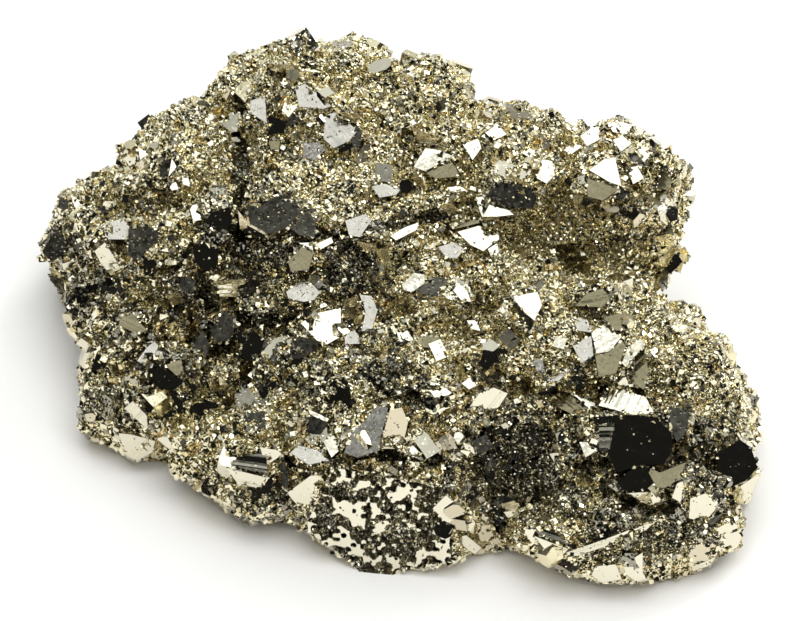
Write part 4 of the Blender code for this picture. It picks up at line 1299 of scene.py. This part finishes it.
def pyrite(name, colour, roughness, grain, tilt, wave):
    """Brassy metal: grains of a size and tilt, soft waves, and specks."""
    material = bpy.data.materials.new(name)
    graph = Graph(material)
    shader = graph.nodes["Principled BSDF"]
    place = graph.add("TexCoord", {}).outputs["Object"]
    normal = facet_normal(graph, place, 1.0 / (grain * MM), tilt)
    normal = graph.bump(graph.noise(place, *WAVE_NOISE), wave, normal)
    dots = graph.ranged(graph.cells(place, SPECK_SCALE)["Distance"], SPECK_RANGE, (0.0, 1.0))
    graph.feed(shader, "Normal", graph.bump(dots, SPECK_HEIGHT, normal))
    patches = graph.noise(place, *PATCH_NOISE)
    graph.feed(shader, "Roughness", graph.ranged(patches, PATCH_RANGE, roughness))
    graph.feed(shader, "Metallic", 1.0)
    graph.feed(shader, "Base Color", (*colour, 1.0))
    return material


# ---- pieces ----

def build_piece(name, v, t, slots, materials):
    """One flat-shaded mesh that rides on the specimen and stands in for its plain solid."""
    mesh = bpy.data.meshes.new(name)
    used, inverse = np.unique(t, return_inverse=True)
    tri = inverse.reshape(-1, 3).astype(np.int32)
    mesh.vertices.add(len(used))
    mesh.vertices.foreach_set("co", (v[used] * MM).astype(np.float32).ravel())
    mesh.loops.add(len(tri) * 3)
    mesh.loops.foreach_set("vertex_index", tri.ravel())
    mesh.polygons.add(len(tri))
    mesh.polygons.foreach_set("loop_start", np.arange(0, len(tri) * 3, 3, dtype=np.int32))
    mesh.polygons.foreach_set("material_index", slots.astype(np.int32))
    mesh.update(calc_edges=True)
    mesh.polygons.foreach_set("use_smooth", np.zeros(len(tri), dtype=bool))
    for material in materials:
        mesh.materials.append(material)
    piece = bpy.data.objects.new(name, mesh)
    bpy.context.scene.collection.objects.link(piece)
    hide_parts("pyrite_cluster")
    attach(piece, "root")


def skin_slots(v, t, offset, polish, depth, outward, owner):
    """Material slot of every triangle of the skin."""
    middle = v[t].mean(1)
    # Painted shade: the skin takes the dark metal in the darker places, the seams and the hollows.
    patch = 0.5 + 0.5 * smooth_noise(middle, *SHADE_PATCH)
    hollow = step(-offset[t].mean(1), *HOLLOW_DEPTH)
    dark = patch < painted_shade_share(middle, outward) + HOLLOW_SHADE * hollow
    slots = np.where(dark, DARK, CRUST)
    slots[~dark & (smooth_noise(middle, *AMBER_PATCH) > AMBER_LEVEL)] = AMBER
    clean = polish[t].min(1) > POLISHED
    kind = hashed(np.column_stack([owner, owner, owner]), BRIGHT_SEED)[:, 0]
    slots[clean] = np.where(kind[clean] < BRIGHT_SHARE, FACE, BRONZE)
    # Eaten places are painted dark for the shade in their pits, with patches of plain face metal between.
    eaten = ~clean & (depth[t].max(1) > DEEP_FINISH)
    glint = smooth_noise(middle[eaten], *GLINT_PATCH) > GLINT_LEVEL
    slots[eaten] = np.where(glint, FACE, DARK)
    return slots


# The skin: vertices and triangles. For each triangle its slot, how far to the right it lay
# on the solid, the outward way of the crust, the finish of its face and whether crust
# covers it.
Skin = namedtuple("Skin", "v t slots across outward names crust")


def grow_skin(solid_v, solid_t, scale):
    """The solid's surface, refined and roughened."""
    solid_labels = flat_groups(solid_v, solid_t)
    normal, size, middle = face_facts(solid_v, solid_t, solid_labels)
    finish = face_finishes(solid_v, solid_t, solid_labels, normal, size, middle)
    rims = face_rims(solid_v, solid_t, solid_labels, finish)
    hidden = (normal @ TOWARDS < HIDDEN_FACING) & (finish != "base")
    cover = (middle, cover_lines(normal, size, finish))
    v, t, labels = refine(solid_v, solid_t, solid_labels, finish, rims, cover, hidden, scale)
    names = finish[labels]
    offset, polish, depth = relief(v, t, labels, finish, rims, cover)
    steps = striations(v, t, labels, (solid_v, solid_t, solid_labels), finish, normal)
    ridged = np.zeros(len(v))
    spread(v, t, names == "ridged", np.ones(len(v)), ridged)
    offset = offset + steps * np.maximum(polish, ridged)
    out = vertex_normals(v, t)
    deep, _ = seam_depth(v, out)
    offset = offset - deep * (1.0 - polish)
    offset[v[:, 2] < BASE_HEIGHT] = 0.0
    moved = v + out * offset[:, None]
    moved[:, 2] = np.maximum(moved[:, 2], 0.0)
    lumps = v + out * swell(v)[:, None]
    outward = unit(cross_normals(lumps, t))
    slots = skin_slots(v, t, offset, polish, depth, outward, labels)
    crust = (names != "base") & (polish[t].max(1) < POLISHED) & (depth[t].max(1) < DEEP_FINISH)
    return Skin(moved, t, slots, v[t].mean(1)[:, 0], outward, names, crust)


def build_skin(skin, materials):
    """The skin in strips from left to right, none with too many triangles."""
    order = np.argsort(skin.across, kind="stable")
    pieces = math.ceil(len(order) / MOST_TRIANGLES)
    for number, rows in enumerate(np.array_split(order, pieces)):
        name = "pyrite_skin_%d" % (number + 1)
        build_piece(name, skin.v, skin.t[rows], skin.slots[rows], materials)


def druse_half(points, rng):
    return region_values(points, CRYSTAL_SIZE) * rng.uniform(*DRUSE_SIZE, len(points))


def block_half(points, rng):
    return BLOCK_HALF[0] + BLOCK_HALF[1] * rng.random(len(points)) ** BLOCK_RARITY


def dress():
    """Covers the solid with its skin, crust, blocks and single crystal faces."""
    scale = 1.0
    solid_v, solid_t = solid_arrays("pyrite_cluster")
    skin = grow_skin(solid_v, solid_t, scale)
    materials = [pyrite(*metal) for metal in METALS]
    build_skin(skin, materials)
    rng = np.random.default_rng(CRUST_SEED)

    def grown(where, *rest):
        return small_crystals(rng, skin.v, skin.t[where], skin.outward[where], *rest)

    druse_forms = (CUBE, CUBE, OCTAHEDRON)
    count = int(DRUSE_COUNT / 2 / scale)
    for number in (1, 2):
        druse = grown(skin.crust, count, druse_half, DRUSE_SINK_RANGE, druse_forms, DRUSE_SLOTS)
        build_piece("pyrite_druse_%d" % number, *druse, materials)
    rough = (skin.names == "druse") | (skin.names == "grain")
    block_forms = (CUBE, PYRITE, CUT_CUBE)
    blocks = grown(rough, BLOCKS_COUNT, block_half, BLOCK_SINK_RANGE, block_forms, BLOCK_SLOTS)
    build_piece("pyrite_blocks", *blocks, materials)
    build_piece("pyrite_faces", *crystal_faces(solid_v, solid_t), materials)


# ---- the studio ----

def camera():
    """Looks straight at the display plane from far away."""
    data = bpy.data.cameras.new("camera")
    thing = bpy.data.objects.new("camera", data)
    bpy.context.scene.collection.objects.link(thing)
    thing.location = Vector(PLANE_ORIGIN * MM) + Vector(TOWARDS) * CAMERA_DISTANCE
    thing.rotation_euler = (math.radians(90.0 - VIEW_ELEVATION), 0.0, 0.0)
    data.sensor_width = SENSOR_WIDTH
    data.lens = SENSOR_WIDTH * CAMERA_DISTANCE / (PICTURE_WIDTH * PIXEL * MM)
    data.clip_end = CLIP_END
    bpy.context.scene.camera = thing


def soft_box(name, place, size, radiance, colour=(1.0, 1.0, 1.0), aim=(0.0, 0.0, 0.02)):
    """Rectangular light of a given brightness."""
    light = bpy.data.lights.new(name, "AREA")
    light.shape = "RECTANGLE"
    light.size, light.size_y = size
    light.energy = radiance * math.pi * size[0] * size[1]
    light.color = colour
    lamp = bpy.data.objects.new(name, light)
    lamp.location = place
    lamp.rotation_euler = (Vector(aim) - Vector(place)).to_track_quat("-Z", "Y").to_euler()
    bpy.context.scene.collection.objects.link(lamp)
    return lamp


def sky():
    """Dim surroundings that brighten smoothly overhead and towards the back."""
    world = bpy.data.worlds.new("studio")
    bpy.context.scene.world = world
    graph = Graph(world)
    way = graph.add("TexCoord", {}).outputs["Generated"]
    slope = graph.add("VectorMath", {0: way, 1: SKY_WAY}, operation="DOT_PRODUCT").outputs["Value"]
    rise = graph.ranged(slope, SKY_RANGE, SKY_STRENGTH, interpolation_type="SMOOTHSTEP")
    background = graph.nodes["Background"]
    graph.feed(background, "Color", SKY_COLOUR)
    graph.feed(background, "Strength", rise)


def floor():
    bpy.ops.mesh.primitive_plane_add(size=FLOOR_SIZE, location=(0, 0, 0))
    plane = bpy.context.object
    plane.name = "floor"
    material = bpy.data.materials.new("floor")
    graph = Graph(material)
    shader = graph.nodes["Principled BSDF"]
    graph.feed(shader, "Base Color", FLOOR_COLOUR)
    graph.feed(shader, "Roughness", FLOOR_ROUGHNESS)
    plane.data.materials.append(material)


def lights():
    soft_box(*FLOOR_LIGHT).visible_glossy = False
    for strip in range(STRIP_COUNT):
        y = STRIP_START + STRIP_SPACING * strip
        name = "overhead strip %d" % (strip + 1)
        place = (0.0, y, STRIP_HEIGHT)
        soft_box(name, place, STRIP_SIZE, STRIP_RADIANCE, STRIP_COLOUR, (0.0, y, 0.0))
    for side_light in SIDE_LIGHTS:
        soft_box(*side_light)


dress()
floor()
lights()
sky()
camera()
bpy.context.scene.view_settings.view_transform = "Standard"
bpy.context.view_layer.update()
